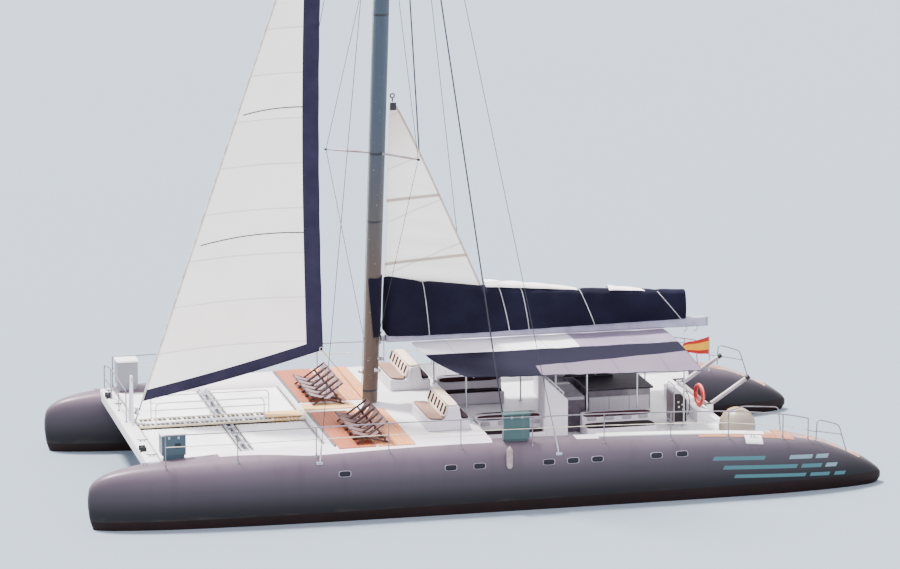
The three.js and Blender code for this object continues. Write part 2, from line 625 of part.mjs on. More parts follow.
// Standing rigging
const rake = Math.tan(MAST_RAKE * Math.PI / 180);
const mastAxisX = (z) => MAST_X - (z - MAST_FOOT_Z) * rake;
const RING_R = 230;
const hounds = [mastAxisX(HOUNDS_Z), 0, HOUNDS_Z];
const ringProfile = [[96, -60], [RING_R, -60], [RING_R, 60], [96, 60], [96, -60]];
const ring = new THREE.LatheGeometry(ringProfile.map(([r, z]) => new THREE.Vector2(r, z)), 24);
ring.rotateX(Math.PI / 2).rotateY(-MAST_RAKE * Math.PI / 180).translate(...hounds);
const aboveRing = box([-500, 500], [-500, 500], [-60 - GAP, 500]);
aboveRing.rotateY(-MAST_RAKE * Math.PI / 180).translate(...hounds);
const forestayTop = [hounds[0] + RING_R - 20, 0, HOUNDS_Z];
const FORESTAY_R = 22;
const forestayLine = rod(FORESTAY_FOOT, forestayTop, FORESTAY_R);
add('forestay', join(ring, forestayLine), STEEL);
for (const [sideName, side] of [['port', 1], ['starboard', -1]]) {
  const capTop = [hounds[0] - 20, RING_R - 60, HOUNDS_Z];
  const aftTop = [hounds[0] - RING_R + 70, 90, HOUNDS_Z];
  const port = (foot, top, radius) => cut(fitToHulls(rod(foot, top, radius)), aboveRing);
  add(`cap_shroud_${sideName}`, onSide(side, port(CAP_FOOT, capTop, 20)), STEEL);
  add(`aft_stay_${sideName}`, onSide(side, port(AFT_FOOT, aftTop, 14)), STEEL);
}

// Headsail, from its luff on the forestay to its leech
const SAIL_THICK = 16;
const HEAD_Z = 16900;
const TACK_Z = 2410;
const CLEW = [3900, 3620];
const LEECH_HEAD_X = 3800;
const stayX = (z) => FORESTAY_FOOT[0]
  + (forestayTop[0] - FORESTAY_FOOT[0]) * (z - FORESTAY_FOOT[2]) / (HOUNDS_Z - FORESTAY_FOOT[2]);
function headsailAt(u, v) {
  const luffZ = TACK_Z + (HEAD_Z - TACK_Z) * u;
  const leechZ = CLEW[1] + (HEAD_Z - 60 - CLEW[1]) * u;
  const leechX = CLEW[0] + (LEECH_HEAD_X - CLEW[0]) * u + 120 * Math.sin(Math.PI * u);
  const belly = -480 * Math.sin(Math.PI * v) * (1 - u);
  const x = stayX(luffZ) + (leechX - stayX(luffZ)) * v;
  return [x, belly, luffZ + (leechZ - luffZ) * v];
}
const stayRoom = rod(FORESTAY_FOOT, forestayTop, FORESTAY_R + GAP);
const forwardOfStay = sheet(
  (u, v) => [stayX(25000 * u) + 500 * v, 0, 25000 * u], 1, 1, [0, 1000, 0]);
add('headsail', cut(sheet(headsailAt, 10, 6, [0, SAIL_THICK, 0]), stayRoom, forwardOfStay), CREAM);

// Mast, turned with its nose to the port bow
const rig = new THREE.Group();
rig.position.set(MAST_X, 0, MAST_FOOT_Z);
rig.rotation.y = -MAST_RAKE * Math.PI / 180;
boat.add(rig);
const turned = new THREE.Group();
turned.rotation.z = MAST_TURN * Math.PI / 180;
rig.add(turned);

const up = (z) => (z - MAST_FOOT_Z) / Math.cos(MAST_RAKE * Math.PI / 180);
function mastRing(z, scale) {
  const points = [];
  for (let k = 0; k < 16; k += 1) {
    const angle = k * Math.PI / 8;
    const along = Math.cos(angle);
    const fullness = along < 0 ? 1 - 0.62 * along * along : 1;
    const x = along > 0 ? along * MAST_NOSE : along * (MAST_CHORD - MAST_NOSE);
    points.push([x * scale, Math.sin(angle) * MAST_THICK / 2 * fullness * scale, z]);
  }
  return points;
}
const NECK_HALF = 75;
const HOUNDS_SCALE = 0.45; // slim here, so that the stays clear the mast as it turns
// Columns: height along the mast, share of the full section.
const MAST_STATIONS = [
  [0, 0.98],
  [up(12000), 1],
  [up(20400), 0.88],
  [up(HOUNDS_Z) - NECK_HALF, HOUNDS_SCALE],
];
const lowerMast = (grow) => loft(MAST_STATIONS.map(([z, scale]) => mastRing(z, scale * grow)));
const upperMast = loft([mastRing(up(HOUNDS_Z) + NECK_HALF, HOUNDS_SCALE), mastRing(up(MAST_HEAD_Z), 0.5)]);
const neck = rod([0, 0, up(HOUNDS_Z) - 200], [0, 0, up(HOUNDS_Z) + 200], 88, 20);
const heel = rod([0, 0, -39.7], [0, 0, 60], 150, 20);
const gooseneckZ = up(BOOM_Z);
const ears = [-1, 1].map((side) => box(
  [-LUFF_BACK - 45, -400], [-55, 55], [gooseneckZ + side * 160 - 20, gooseneckZ + side * 160 + 20]));
add('mast', join(lowerMast(1), upperMast, neck, heel, ...ears), GREY, turned);

const spreaderTip = (side) => {
  const angle = side * SPREADER_ANGLE * Math.PI / 180;
  return [Math.cos(angle) * SPREADER_LENGTH, Math.sin(angle) * SPREADER_LENGTH, up(SPREADER_Z)];
};
for (const [place, side] of [['port', 1], ['starboard', -1]]) {
  const tip = spreaderTip(side);
  const arm = rod([tip[0] * 0.1, tip[1] * 0.1, tip[2]], tip, 38, 8, 26);
  const wires = [DIAMOND_LOW_Z, DIAMOND_HIGH_Z].map((z) => rod(
    [tip[0] * 0.09, tip[1] * 0.09, up(z)], [tip[0] * 0.99, tip[1] * 0.99, tip[2]], 13));
  add(`diamond_${place}`, cut(join(arm, ...wires), lowerMast(1.002)), STEEL, turned);
}

// Gooseneck, boom, cover and the part of the mainsail that is up
boat.updateMatrixWorld(true);
const goosePin = turned.localToWorld(new THREE.Vector3(-LUFF_BACK, 0, gooseneckZ));
const gooseneckX = goosePin.x;
const goose = new THREE.Group();
goose.position.copy(goosePin);
boat.add(goose);
const RAKE_TURN = -MAST_RAKE * Math.PI / 180;
const TOGGLE_R = 170; // the toggle's rounded back meets the boom's front face
const toggle = cut(
  rod([0, 0, -70], [0, 0, 70], TOGGLE_R - GAP, 32), box([-30, 300], [-300, 300], [-100, 100]));
add('gooseneck', join(rod([0, 0, -139], [0, 0, 139], 42, 12), toggle).rotateY(RAKE_TURN), ALLOY, goose);

const boomEnd = BOOM_END_X - gooseneckX;
const boomBody = box([boomEnd, 0], [-BOOM_WIDE / 2, BOOM_WIDE / 2], [-BOOM_HIGH / 2, BOOM_HIGH / 2]);
const beforeBoom = box([-TOGGLE_R, 500], [-500, 500], [-500, 500]).rotateY(RAKE_TURN);
add('boom', cut(boomBody, beforeBoom), ALLOY, goose);

const COVER_AFT = -6900 - gooseneckX;
// Columns: x from the gooseneck, bottom z and top z, half width of the cover over the boom.
const COVER_SECTIONS = [
  [-205, 3850, 5600, 220],
  [-1100, 3850, 5430, 290],
  [-3100, 3860, 5180, 330],
  [-5400, 3900, 5000, 320],
  [COVER_AFT, 3940, 4770, 230],
];
const coverRings = COVER_SECTIONS.map(([x, bottom, top, half]) => {
  const [low, high] = [bottom - BOOM_Z, top - BOOM_Z];
  const middle = low + 0.45 * (high - low);
  return [
    [x, half * 0.8, low], [x, half, middle], [x, half * 0.7, high - 120], [x, half * 0.25, high],
    [x, -half * 0.25, high], [x, -half * 0.7, high - 120], [x, -half, middle], [x, -half * 0.8, low]];
});
const boomRoom = box([boomEnd - 500, 100],
  [-BOOM_WIDE / 2 - GAP, BOOM_WIDE / 2 + GAP], [-BOOM_HIGH / 2 - 400, BOOM_HIGH / 2 + GAP]);
add('sail_cover', cut(loft(coverRings), boomRoom), NAVY, goose);

const MAIN_HEAD_Z = 10590;
const mainLuffX = (z) => -(z - BOOM_Z) * rake - 90;
function mainsailAt(u, v) {
  const foot = 5080 - BOOM_Z;
  const head = MAIN_HEAD_Z - BOOM_Z;
  const z = foot + 470 * (1 - v) * (1 - u) + (head - foot - 200 * (1 - u)) * u;
  const luff = mainLuffX(z + BOOM_Z);
  const chord = 2750 * (1 - u) ** 0.92 + 160;
  return [luff - chord * v, -60 * Math.sin(Math.PI * v) * (1 - u), z];
}
const coverTop = cut(loft(coverRings.map((ring8) => ring8.map(([x, y, z]) => [x, y, z + GAP]))));
add('mainsail', cut(sheet(mainsailAt, 8, 4, [0, 14, 0]), coverTop), CREAM, goose);

// Rudders and propellers
const BLADE_TOP_Z = RUDDER_Z[1] - 60;
const bladeOutline = [
  [-60, BLADE_TOP_Z], [180, BLADE_TOP_Z], [140, RUDDER_Z[0]], [-220, RUDDER_Z[0]], [-330, BLADE_TOP_Z]];
const blade = alongY(bladeOutline.map(([x, z]) => [x + RUDDER_X, z]), [-28, 28]);
const stock = rod([RUDDER_X, 0, RUDDER_Z[0] + 200], [RUDDER_X, 0, RUDDER_Z[1] + 20 - GAP], 45, 12);
const HUB_R = 58;
const hub = rod([PROP_X + 120, 0, SHAFT_Z], [PROP_X - 110, 0, SHAFT_Z], HUB_R, 12, 30);
const shaft = rod([-5360 - GAP, 0, SHAFT_Z], [PROP_X, 0, SHAFT_Z], 30, 12);
const bladeShape = new THREE.Shape([
  new THREE.Vector2(-45, 30), new THREE.Vector2(-110, 150), new THREE.Vector2(-80, 260),
  new THREE.Vector2(30, 285), new THREE.Vector2(100, 200), new THREE.Vector2(45, 30)]);
const screwBlade = new THREE.ExtrudeGeometry(bladeShape, { depth: 12, bevelEnabled: false })
  .translate(0, 0, -6).rotateY(Math.PI / 2 - 0.6);
const screwBlades = [0, 1, 2].map((n) => screwBlade.clone()
  .rotateX(n * 2 * Math.PI / 3).translate(PROP_X, 0, SHAFT_Z));
for (const [sideName, side] of [['port', 1], ['starboard', -1]]) {
  add(`${sideName}_rudder`, onSide(side, join(blade, stock).translate(0, HULL_Y, 0)), SILVER);
  const propeller = join(hub, shaft, ...screwBlades).translate(0, HULL_Y, 0);
  add(`${sideName}_propeller`, onSide(side, propeller), BRONZE);
}

// Helm wheel on the aft face of its console
const WHEEL_R = 330;
const wheelRim = new THREE.TorusGeometry(WHEEL_R, 16, 6, 20);
const spokes = [0, 1, 2].map((n) => rod(
  [0, 0, 0], [WHEEL_R * Math.cos(n * 2.0944), WHEEL_R * Math.sin(n * 2.0944), 0], 10));
const wheel = join(wheelRim, ...spokes, rod([0, 0, -40], [0, 0, 90 - GAP], 35, 10));
wheel.rotateY(Math.PI / 2);
add('helm_wheel', wheel.translate(-6350 - 90, 1500, 1850), STEEL);

export default boat;
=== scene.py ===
import math

import bmesh
import bpy
import numpy as np
from mathutils import Matrix, Vector


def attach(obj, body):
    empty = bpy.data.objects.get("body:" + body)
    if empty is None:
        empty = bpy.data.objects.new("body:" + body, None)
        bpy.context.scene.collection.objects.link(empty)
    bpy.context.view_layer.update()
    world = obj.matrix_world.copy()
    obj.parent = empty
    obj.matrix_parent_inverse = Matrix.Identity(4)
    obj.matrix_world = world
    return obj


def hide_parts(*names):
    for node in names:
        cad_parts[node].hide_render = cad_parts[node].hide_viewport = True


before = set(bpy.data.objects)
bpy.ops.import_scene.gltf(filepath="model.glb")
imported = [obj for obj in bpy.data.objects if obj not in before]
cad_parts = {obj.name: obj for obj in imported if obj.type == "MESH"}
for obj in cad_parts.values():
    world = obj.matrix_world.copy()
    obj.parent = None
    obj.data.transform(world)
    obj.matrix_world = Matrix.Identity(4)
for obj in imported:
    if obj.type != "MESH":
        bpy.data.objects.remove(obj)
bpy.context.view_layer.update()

bl_info = {
    "name": "Sailing catamaran",
    "version": (1, 0, 0),
    "blender": (4, 5, 0),
    "location": "View3D > Sidebar > Boat",
    "description": "Dresses the solids of a sailing catamaran in paint, cloth, wood and rigging",
    "category": "Object",
}

SIDES = (("port", 1), ("starboard", -1))

# Places that the solids share, in metres
HULL_Y = 4.47
DECK_Z = 1.95
SOLE_Z = 1.3
WELL_X = (-8.05, 0.1)
WELL_OUTER_Y = 4.6
NET_Z = 1.7
SPINE_HALF = 0.45
SPINE_TOP_Z = 1.79
MAST_X = 2.55
MAST_FOOT_Z = 2.05
MAST_RAKE = math.radians(2)
MAST_TURN = math.radians(52)
HOUNDS_Z = 22.6
MAST_HEAD_Z = 25.5
BOOM_Z = 3.81
BOOM_END_X = -7.6
FORESTAY_FOOT = (9.33, 0.0, 1.809)

# Surfaces. Each helper below works out whole arrays and gives a Form.


class Form:
    """Points, blocks of faces with the same number of corners, and a flat place for each point."""

    def __init__(self, points, blocks, flat=None):
        self.points = np.asarray(points, float).reshape(-1, 3)
        self.blocks = [np.asarray(block, int) for block in blocks]
        flat = np.zeros((len(self.points), 2)) if flat is None else np.asarray(flat, float)
        self.flat = flat.reshape(-1, 2)

    def __add__(self, other):
        shift = len(self.points)
        moved = [block + shift for block in other.blocks]
        return Form(np.vstack([self.points, other.points]), self.blocks + moved,
                    np.vstack([self.flat, other.flat]))

    def moved(self, x=0.0, y=0.0, z=0.0):
        return Form(self.points + np.array([x, y, z]), self.blocks, self.flat)

    def turned(self, matrix, about=(0, 0, 0)):
        """Each point turned by a 3 by 3 matrix about a place."""
        centre = np.array(about, float)
        return Form((self.points - centre) @ np.asarray(matrix, float).T + centre, self.blocks, self.flat)

    def mirrored(self):
        """The same form on the other side of the boat: y changes sign and each face runs backwards."""
        return Form(self.points * [1, -1, 1], [block[:, ::-1] for block in self.blocks], self.flat)

    def on_side(self, side):
        return self if side > 0 else self.mirrored()

    def volume(self):
        """Signed volume: a sixth of the sum of corner . (next x next) over fans of each face."""
        total = 0.0
        for block in self.blocks:
            corners = self.points[block]
            for k in range(1, block.shape[1] - 1):
                cross = np.cross(corners[:, k], corners[:, k + 1])
                total += np.einsum("ij,ij->", corners[:, 0], cross) / 6
        return total

    def outward(self):
        """A closed form with its faces pointing out."""
        if self.volume() >= 0:
            return self
        return Form(self.points, [block[:, ::-1] for block in self.blocks], self.flat)


def joined(forms):
    forms = list(forms)
    whole = forms[0]
    for form in forms[1:]:
        whole = whole + form
    return whole


def round_angles(count):
    """Even angles of a full turn, the last one short of it."""
    return np.linspace(0, 2 * math.pi, count, endpoint=False)


def unit_grid(rows, columns, low=0.0):
    """Shares of 0 to 1 down the rows, and of low to 1 along the columns."""
    return np.meshgrid(np.linspace(0, 1, rows), np.linspace(low, 1, columns), indexing="ij")


def lattice(points, wrap=False, around=False, flat=None):
    """Four-cornered faces over a grid: points[i, j] is a place.

    wrap joins the last j to the first, and around joins the last i to the first.
    """
    grid = np.asarray(points, float)
    rows, columns = grid.shape[:2]
    i = np.arange(rows if around else rows - 1)[:, None]
    j = np.arange(columns if wrap else columns - 1)[None, :]
    next_i, next_j = (i + 1) % rows * columns, (j + 1) % columns
    i = i * columns
    quads = np.stack([i + j, i + next_j, next_i + next_j, next_i + j], -1).reshape(-1, 4)
    return Form(grid, [quads], flat)


def loft(rings, flat=None):
    """A closed skin over rings of equal length, with one flat face at each end."""
    grid = np.asarray(rings, float)
    rows, columns = grid.shape[:2]
    skin = lattice(grid, wrap=True, flat=flat)
    ends = np.stack([np.arange(columns)[::-1], np.arange(columns) + (rows - 1) * columns])
    return Form(skin.points, skin.blocks + [ends], skin.flat).outward()


def bent(points, corner=0.1, steps=5):
    """A line through points whose inner corners are rounded: a quadratic arc within corner of each."""
    places = [np.array(point, float) for point in points]
    line = [places[0]]
    t = np.linspace(0, 1, steps + 1)[:, None]
    for before, here, after in zip(places, places[1:], places[2:]):
        reach_in = min(corner, np.linalg.norm(here - before) / 2)
        reach_out = min(corner, np.linalg.norm(after - here) / 2)
        start = here + (before - here) / np.linalg.norm(before - here) * reach_in
        stop = here + (after - here) / np.linalg.norm(after - here) * reach_out
        line.extend((1 - t) ** 2 * start + 2 * t * (1 - t) * here + t ** 2 * stop)
    line.append(places[-1])
    return np.array(line)


def smooth_rows(table, steps):
    """A Catmull-Rom curve through the rows of a table, with so many steps between two rows."""
    rows = np.asarray(table, float)
    rows = np.vstack([2 * rows[0] - rows[1], rows, 2 * rows[-1] - rows[-2]])
    t = np.linspace(0, 1, steps, endpoint=False)[None, :, None]
    a, b, c, d = (rows[k:len(rows) - 3 + k, None] for k in range(4))
    curve = 2 * b + (c - a) * t + (2 * a - 5 * b + 4 * c - d) * t ** 2
    curve = 0.5 * (curve + (3 * b - a - 3 * c + d) * t ** 3)
    return np.vstack([curve.reshape(-1, rows.shape[1]), rows[-2:-1]])


def tube(path, radius, sides=10, wrap=False):
    """Rings of a radius about a path, square to it. The ring's first axis is kept off the path's run.

    The flat map holds the share of a turn round the path, and metres along it.
    """
    line = np.asarray(path, float)
    ahead = np.roll(line, -1, 0) - np.roll(line, 1, 0)
    if not wrap:
        ahead[0], ahead[-1] = line[1] - line[0], line[-1] - line[-2]
    ahead /= np.linalg.norm(ahead, axis=1, keepdims=True)
    up = np.eye(3)[np.argmin(np.abs(ahead).max(0))]
    first = np.cross(ahead, up)
    first /= np.linalg.norm(first, axis=1, keepdims=True)
    second = np.cross(ahead, first)
    angle = round_angles(sides)
    around = first[:, None] * np.cos(angle)[None, :, None] + second[:, None] * np.sin(angle)[None, :, None]
    rings = line[:, None] + around * np.asarray(radius, float).reshape(-1, 1, 1)
    run = np.concatenate([[0], np.cumsum(np.linalg.norm(np.diff(line, axis=0), axis=1))])
    flat = np.stack(np.meshgrid(angle / (2 * math.pi), run), -1)
    if wrap:
        return lattice(rings, wrap=True, around=True, flat=flat).outward()
    return loft(rings, flat)


def rod(start, stop, radius, far=None, sides=10):
    """A straight bar, with another radius at its far end if given."""
    return tube([start, stop], [radius, radius if far is None else far], sides)


def prism(outline, axis, low, high):
    """An outline in the other two directions, carried along one axis (0, 1 or 2)."""
    flat = np.asarray(outline, float)
    others = [k for k in range(3) if k != axis]
    rings = np.zeros((2, len(flat), 3))
    rings[:, :, others] = flat
    rings[:, :, axis] = np.array([low, high])[:, None]
    return loft(rings)


def bar(start, stop, wide, deep):
    """A straight bar of oblong section, its width level and square to its run."""
    a, b = np.array(start, float), np.array(stop, float)
    ahead = (b - a) / np.linalg.norm(b - a)
    side = np.cross(ahead, [0, 0, 1]) if abs(ahead[2]) < 0.99 else np.array([0, 1.0, 0])
    side /= np.linalg.norm(side)
    up = np.cross(side, ahead)
    corners = ((1, 1), (-1, 1), (-1, -1), (1, -1))
    ring = np.array([side * i * wide / 2 + up * j * deep / 2 for i, j in corners])
    return loft([ring + a, ring + b])


def spin(axis, degrees):
    """The 3 by 3 matrix of a turn about an axis."""
    return np.array(Matrix.Rotation(math.radians(degrees), 3, axis))


def slab(x, y, z):
    """A box between low and high on each axis; its edges are rounded by the piece's bevel."""
    return prism([(x[0], y[0]), (x[1], y[0]), (x[1], y[1]), (x[0], y[1])], 2, *z)


def axes_about(axis):
    """An axis and two directions square to it, all of length 1."""
    up = Vector(axis).normalized()
    first = up.orthogonal().normalized()
    return np.array(up), np.array(first), np.array(up.cross(first))


def lathe(profile, centre, axis=(0, 0, 1), sides=24):
    """A profile of (radius, height) pairs turned about an axis; it closes where its ends are one point."""
    turned = np.asarray(profile, float)
    up, first, second = axes_about(axis)
    angle = round_angles(sides)[None, :, None]
    around = first * np.cos(angle) + second * np.sin(angle)
    rings = np.array(centre) + turned[:, :1, None] * around + turned[:, 1:, None] * up
    if np.allclose(turned[0], turned[-1]):
        return lattice(rings[:-1], wrap=True, around=True).outward()
    return loft(rings)


def round_ring(centre, radius, thick, axis=(0, 0, 1), steps=32, sides=10):
    """A ring of round section about an axis. Its flat map holds the share of a turn."""
    up, first, second = axes_about(axis)
    angle = round_angles(steps)[:, None]
    line = np.array(centre) + radius * (np.cos(angle) * first + np.sin(angle) * second)
    ahead = second * np.cos(angle) - first * np.sin(angle)
    out = np.cross(ahead, up)
    turn = round_angles(sides)[None, :, None]
    rings = line[:, None] + thick * (np.cos(turn) * out[:, None] + np.sin(turn) * up)
    turns = np.broadcast_to(np.linspace(0, 1, steps)[:, None], (steps, sides))
    return lattice(rings, wrap=True, around=True, flat=np.stack([turns, turns * 0], -1)).outward()


def signed_power(value, power):
    """A power of a number's size, with the number's own sign."""
    return np.sign(value) * np.abs(value) ** power


CUSHION_STEPS = (56, 10)
CUSHION_WAIST = 0.06
PLAN_POWER = 2 / 7
EDGE_POWER = 2 / 6
RISE_POWER = 2 / 3
WAIST_POWER = 0.3
CROWN_SHARE = 0.6


def cushion(x, y, z, crown=0.25):
    """A stuffed block with soft corners and a swelling top.

    Its plan is a super-ellipse of power 7, drawn in a little at the top and bottom by its waist. Its
    upper half rises by crown times (1 - x^2) times (1 - y^2), with x and y from -1 to 1 over the block,
    and all of it is then lowered by a share of the crown, so that its height stays near z.
    """
    low, high = np.array([x, y, z], float).T
    angle = round_angles(CUSHION_STEPS[0])
    rise = np.linspace(-math.pi / 2, math.pi / 2, CUSHION_STEPS[1])
    plan = np.stack([signed_power(np.cos(angle), PLAN_POWER), signed_power(np.sin(angle), PLAN_POWER)], -1)
    drawn_in = np.cos(rise) ** EDGE_POWER * (1 - CUSHION_WAIST * (1 - np.cos(rise) ** WAIST_POWER))
    rings = np.zeros((len(rise), len(angle), 3))
    rings[:, :, :2] = plan[None] * drawn_in[:, None, None]
    rings[:, :, 2] = signed_power(np.sin(rise), RISE_POWER)[:, None]
    swell = (1 - rings[:, :, 0] ** 2).clip(0) * (1 - rings[:, :, 1] ** 2).clip(0)
    rings[:, :, 2] += np.where(rings[:, :, 2] > 0, crown * swell, 0)
    return loft((low + high) / 2 + rings * (high - low) / 2 * [1, 1, 1 / (1 + crown * CROWN_SHARE)])


# Pieces


# Faces that meet at more than so many degrees show an edge, and get a bevel.
CREASE = 32
BEVEL_FROM = 35
# Points of a piece and of a solid that are one place, in metres, and faces that are one plane, in degrees.
SAME_PLACE = 1e-5
SAME_PLACE_SOLID = 2e-5
SAME_PLANE = 0.5


def mesh_of(name, form):
    mesh = bpy.data.meshes.new(name)
    faces = [face for block in form.blocks for face in block.tolist()]
    mesh.from_pydata(form.points.tolist(), [], faces)
    return mesh


def placed(name, data):
    """A new object in the scene."""
    made = bpy.data.objects.new(name, data)
    bpy.context.scene.collection.objects.link(made)
    return made


def piece(name, form, look, body="root", stands_for=(), slot=None, bevel=0.0, crease=CREASE, thick=0.0):
    """Puts a form into the scene as one object that moves with a body."""
    mesh = mesh_of(name, form)
    corners = np.zeros(len(mesh.loops), int)
    mesh.loops.foreach_get("vertex_index", corners)
    layer = mesh.uv_layers.new(name="UVMap")
    layer.data.foreach_set("uv", form.flat[corners].astype(np.float32).ravel())
    work = bmesh.new()
    work.from_mesh(mesh)
    bmesh.ops.remove_doubles(work, verts=work.verts, dist=SAME_PLACE)
    work.to_mesh(mesh)
    work.free()
    mesh.shade_smooth()
    mesh.set_sharp_from_angle(angle=math.radians(crease))
    mesh.materials.append(look)
    made = placed(name, mesh)
    if thick:
        solid = made.modifiers.new("Thickness", "SOLIDIFY")
        solid.thickness, solid.offset = thick, 0
    if bevel:
        rounded = made.modifiers.new("Edges", "BEVEL")
        rounded.width, rounded.segments = bevel, 2
        rounded.limit_method, rounded.angle_limit = "ANGLE", math.radians(BEVEL_FROM)
    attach(made, body)
    if stands_for:
        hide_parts(*stands_for)
    return made


def from_solid(node):
    """The form of a solid with its loose triangles merged and its flat faces made whole."""
    work = bmesh.new()
    work.from_mesh(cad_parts[node].data)
    bmesh.ops.remove_doubles(work, verts=work.verts, dist=SAME_PLACE_SOLID)
    bmesh.ops.dissolve_limit(work, angle_limit=math.radians(SAME_PLANE), verts=work.verts, edges=work.edges)
    work.verts.index_update()
    points = [vertex.co[:] for vertex in work.verts]
    blocks = [[[vertex.index for vertex in face.verts]] for face in work.faces]
    work.free()
    return Form(points, blocks)


def dressed(name, node, look, body="root", slot=None, bevel=0.012):
    """A piece with the shape of a solid, its edges rounded."""
    return piece(name, from_solid(node), look, body, [node], slot, bevel)


def canvas(name, grid, flat, look, held, rests_on, side=1, thick=0.008, body="root", **more):
    """A sheet of cloth over a grid, with a thickness."""
    made = piece(name, lattice(grid, flat=flat).on_side(side), look, body, thick=thick, **more)


def carved(made, form, look):
    """Cuts a closed form out of a piece, and finishes the cut faces with a material."""
    cutter = placed("cutter", mesh_of("cutter", form))
    cutter.data.materials.append(look)
    cut = made.modifiers.new("Cut", "BOOLEAN")
    cut.operation, cut.object, cut.solver, cut.material_mode = "DIFFERENCE", cutter, "EXACT", "TRANSFER"
    graph = bpy.context.evaluated_depsgraph_get()
    mesh = bpy.data.meshes.new_from_object(made.evaluated_get(graph))
    made.modifiers.clear()
    made.data = mesh
    mesh.name = made.name
    bpy.data.objects.remove(cutter)
    mesh.set_sharp_from_angle(angle=math.radians(CREASE))


# Shader maths


class Wire:
    """One output of a shader node. Arithmetic on it adds Math nodes."""

    def __init__(self, shade, socket):
        self.shade = shade
        self.socket = socket

    def output(self, key):
        """Another output of the same node."""
        return Wire(self.shade, self.socket.node.outputs[key])

    def math(self, operation, *values):
        return self.shade.node("ShaderNodeMath", values, operation=operation)

    def __add__(self, other):
        return self.math("ADD", self, other)

    def __radd__(self, other):
        return self.math("ADD", other, self)

    def __sub__(self, other):
        return self.math("SUBTRACT", self, other)

    def __rsub__(self, other):
        return self.math("SUBTRACT", other, self)

    def __mul__(self, other):
        return self.math("MULTIPLY", self, other)

    def __rmul__(self, other):
        return self.math("MULTIPLY", other, self)

    def __truediv__(self, other):
        return self.math("DIVIDE", self, other)

    def __pow__(self, other):
        return self.math("POWER", self, other)

    def sine(self):
        return self.math("SINE", self)

    def size(self):
        return self.math("ABSOLUTE", self)

    def whole(self):
        """The whole number below."""
        return self.math("FLOOR", self)

    def part(self):
        """What is left after whole numbers are taken away."""
        return self.math("FRACT", self)

    def top(self, other):
        return self.math("MAXIMUM", self, other)


class Shade:
    """A material under construction."""

    def __init__(self, name):
        self.material = bpy.data.materials.new(name)
        self.material.use_nodes = True
        self.tree = self.material.node_tree
        self.tree.nodes.clear()
        self.place = self.node("ShaderNodeTexCoord").output("Object")
        self.flat = self.node("ShaderNodeTexCoord").output("UV")

    def node(self, kind, inputs=(), output=0, **choices):
        """Adds one node: its choices first, then each input's value or link, by number or name."""
        made = self.tree.nodes.new(kind)
        for key, value in choices.items():
            setattr(made, key, value)
        for key, value in (inputs.items() if isinstance(inputs, dict) else enumerate(inputs)):
            socket = made.inputs[key]
            if isinstance(value, Wire):
                self.tree.links.new(value.socket, socket)
            else:
                socket.default_value = value
        return Wire(self, made.outputs[output] if made.outputs else None)

    def along(self, source=None):
        """The three numbers of a place."""
        split = self.node("ShaderNodeSeparateXYZ", [source or self.place])
        return [split.output(key) for key in ("X", "Y", "Z")]

    def noise(self, scale, detail=3.0, stretch=None, rough=0.5):
        """Soft random values of 0 to 1, drawn out along the axes where stretch is small."""
        source = self.place
        if stretch:
            source = self.node("ShaderNodeMapping", {"Vector": source, "Scale": stretch})
        return self.node("ShaderNodeTexNoise",
                         {"Vector": source, "Scale": scale, "Detail": detail, "Roughness": rough})

    def step(self, value, low, high):
        """0 below low, 1 above high, smooth between."""
        return self.node("ShaderNodeMapRange", [value, low, high, 0.0, 1.0], interpolation_type="SMOOTHSTEP")

    def band(self, value, low, high, soft=0.004):
        """1 between low and high."""
        return self.step(value, low - soft, low + soft) * (1 - self.step(value, high - soft, high + soft))

    def mix(self, share, first, second):
        """A colour between two colours."""
        return self.node("ShaderNodeMix", {0: share, 6: first, 7: second}, output=2, data_type="RGBA")

    def over(self, tone, share, colour):
        """A tone with a share of a screen colour over it."""
        return self.mix(share, tone, linear(colour))

    def bump(self, height, depth, under=None, strength=1.0):
        inputs = {"Strength": strength, "Distance": depth, "Height": height}
        if under:
            inputs["Normal"] = under
        return self.node("ShaderNodeBump", inputs)

    def weave(self, pitch):
        """The ups and downs of crossing threads: half the sum of a squared wave across and one down."""
        x, y, _ = self.along(self.flat)
        across = (x * (math.pi / pitch)).sine() ** 2.0
        down = (y * (math.pi / pitch)).sine() ** 2.0
        return (across + down) * 0.5

    def done(self, colour, rough, metal=0.0, normal=None, **fixed):
        inputs = {"Base Color": colour, "Roughness": rough, "Metallic": metal}
        if normal:
            inputs["Normal"] = normal
        inputs.update({key.replace("_", " "): value for key, value in fixed.items()})
        self.node("ShaderNodeOutputMaterial", [self.node("ShaderNodeBsdfPrincipled", inputs)])
        return self.material


# The power that puts back the contrast which the bright stage takes out.
CONTRAST = 1.4


def linear(colour, shade=1.0):
    """A screen colour of 0 to 255, times a shade, as linear light by the sRGB curve, with more contrast."""
    share = shade * np.array(colour, float) / 255
    light = np.where(share <= 0.04045, share / 12.92, ((share + 0.055) / 1.055) ** 2.4)
    return (*(light ** CONTRAST).tolist(), 1.0)


def darker(light, shade):
    """A linear colour with less light."""
    return (*(np.array(light[:3]) * shade).tolist(), 1.0)


# Finishes


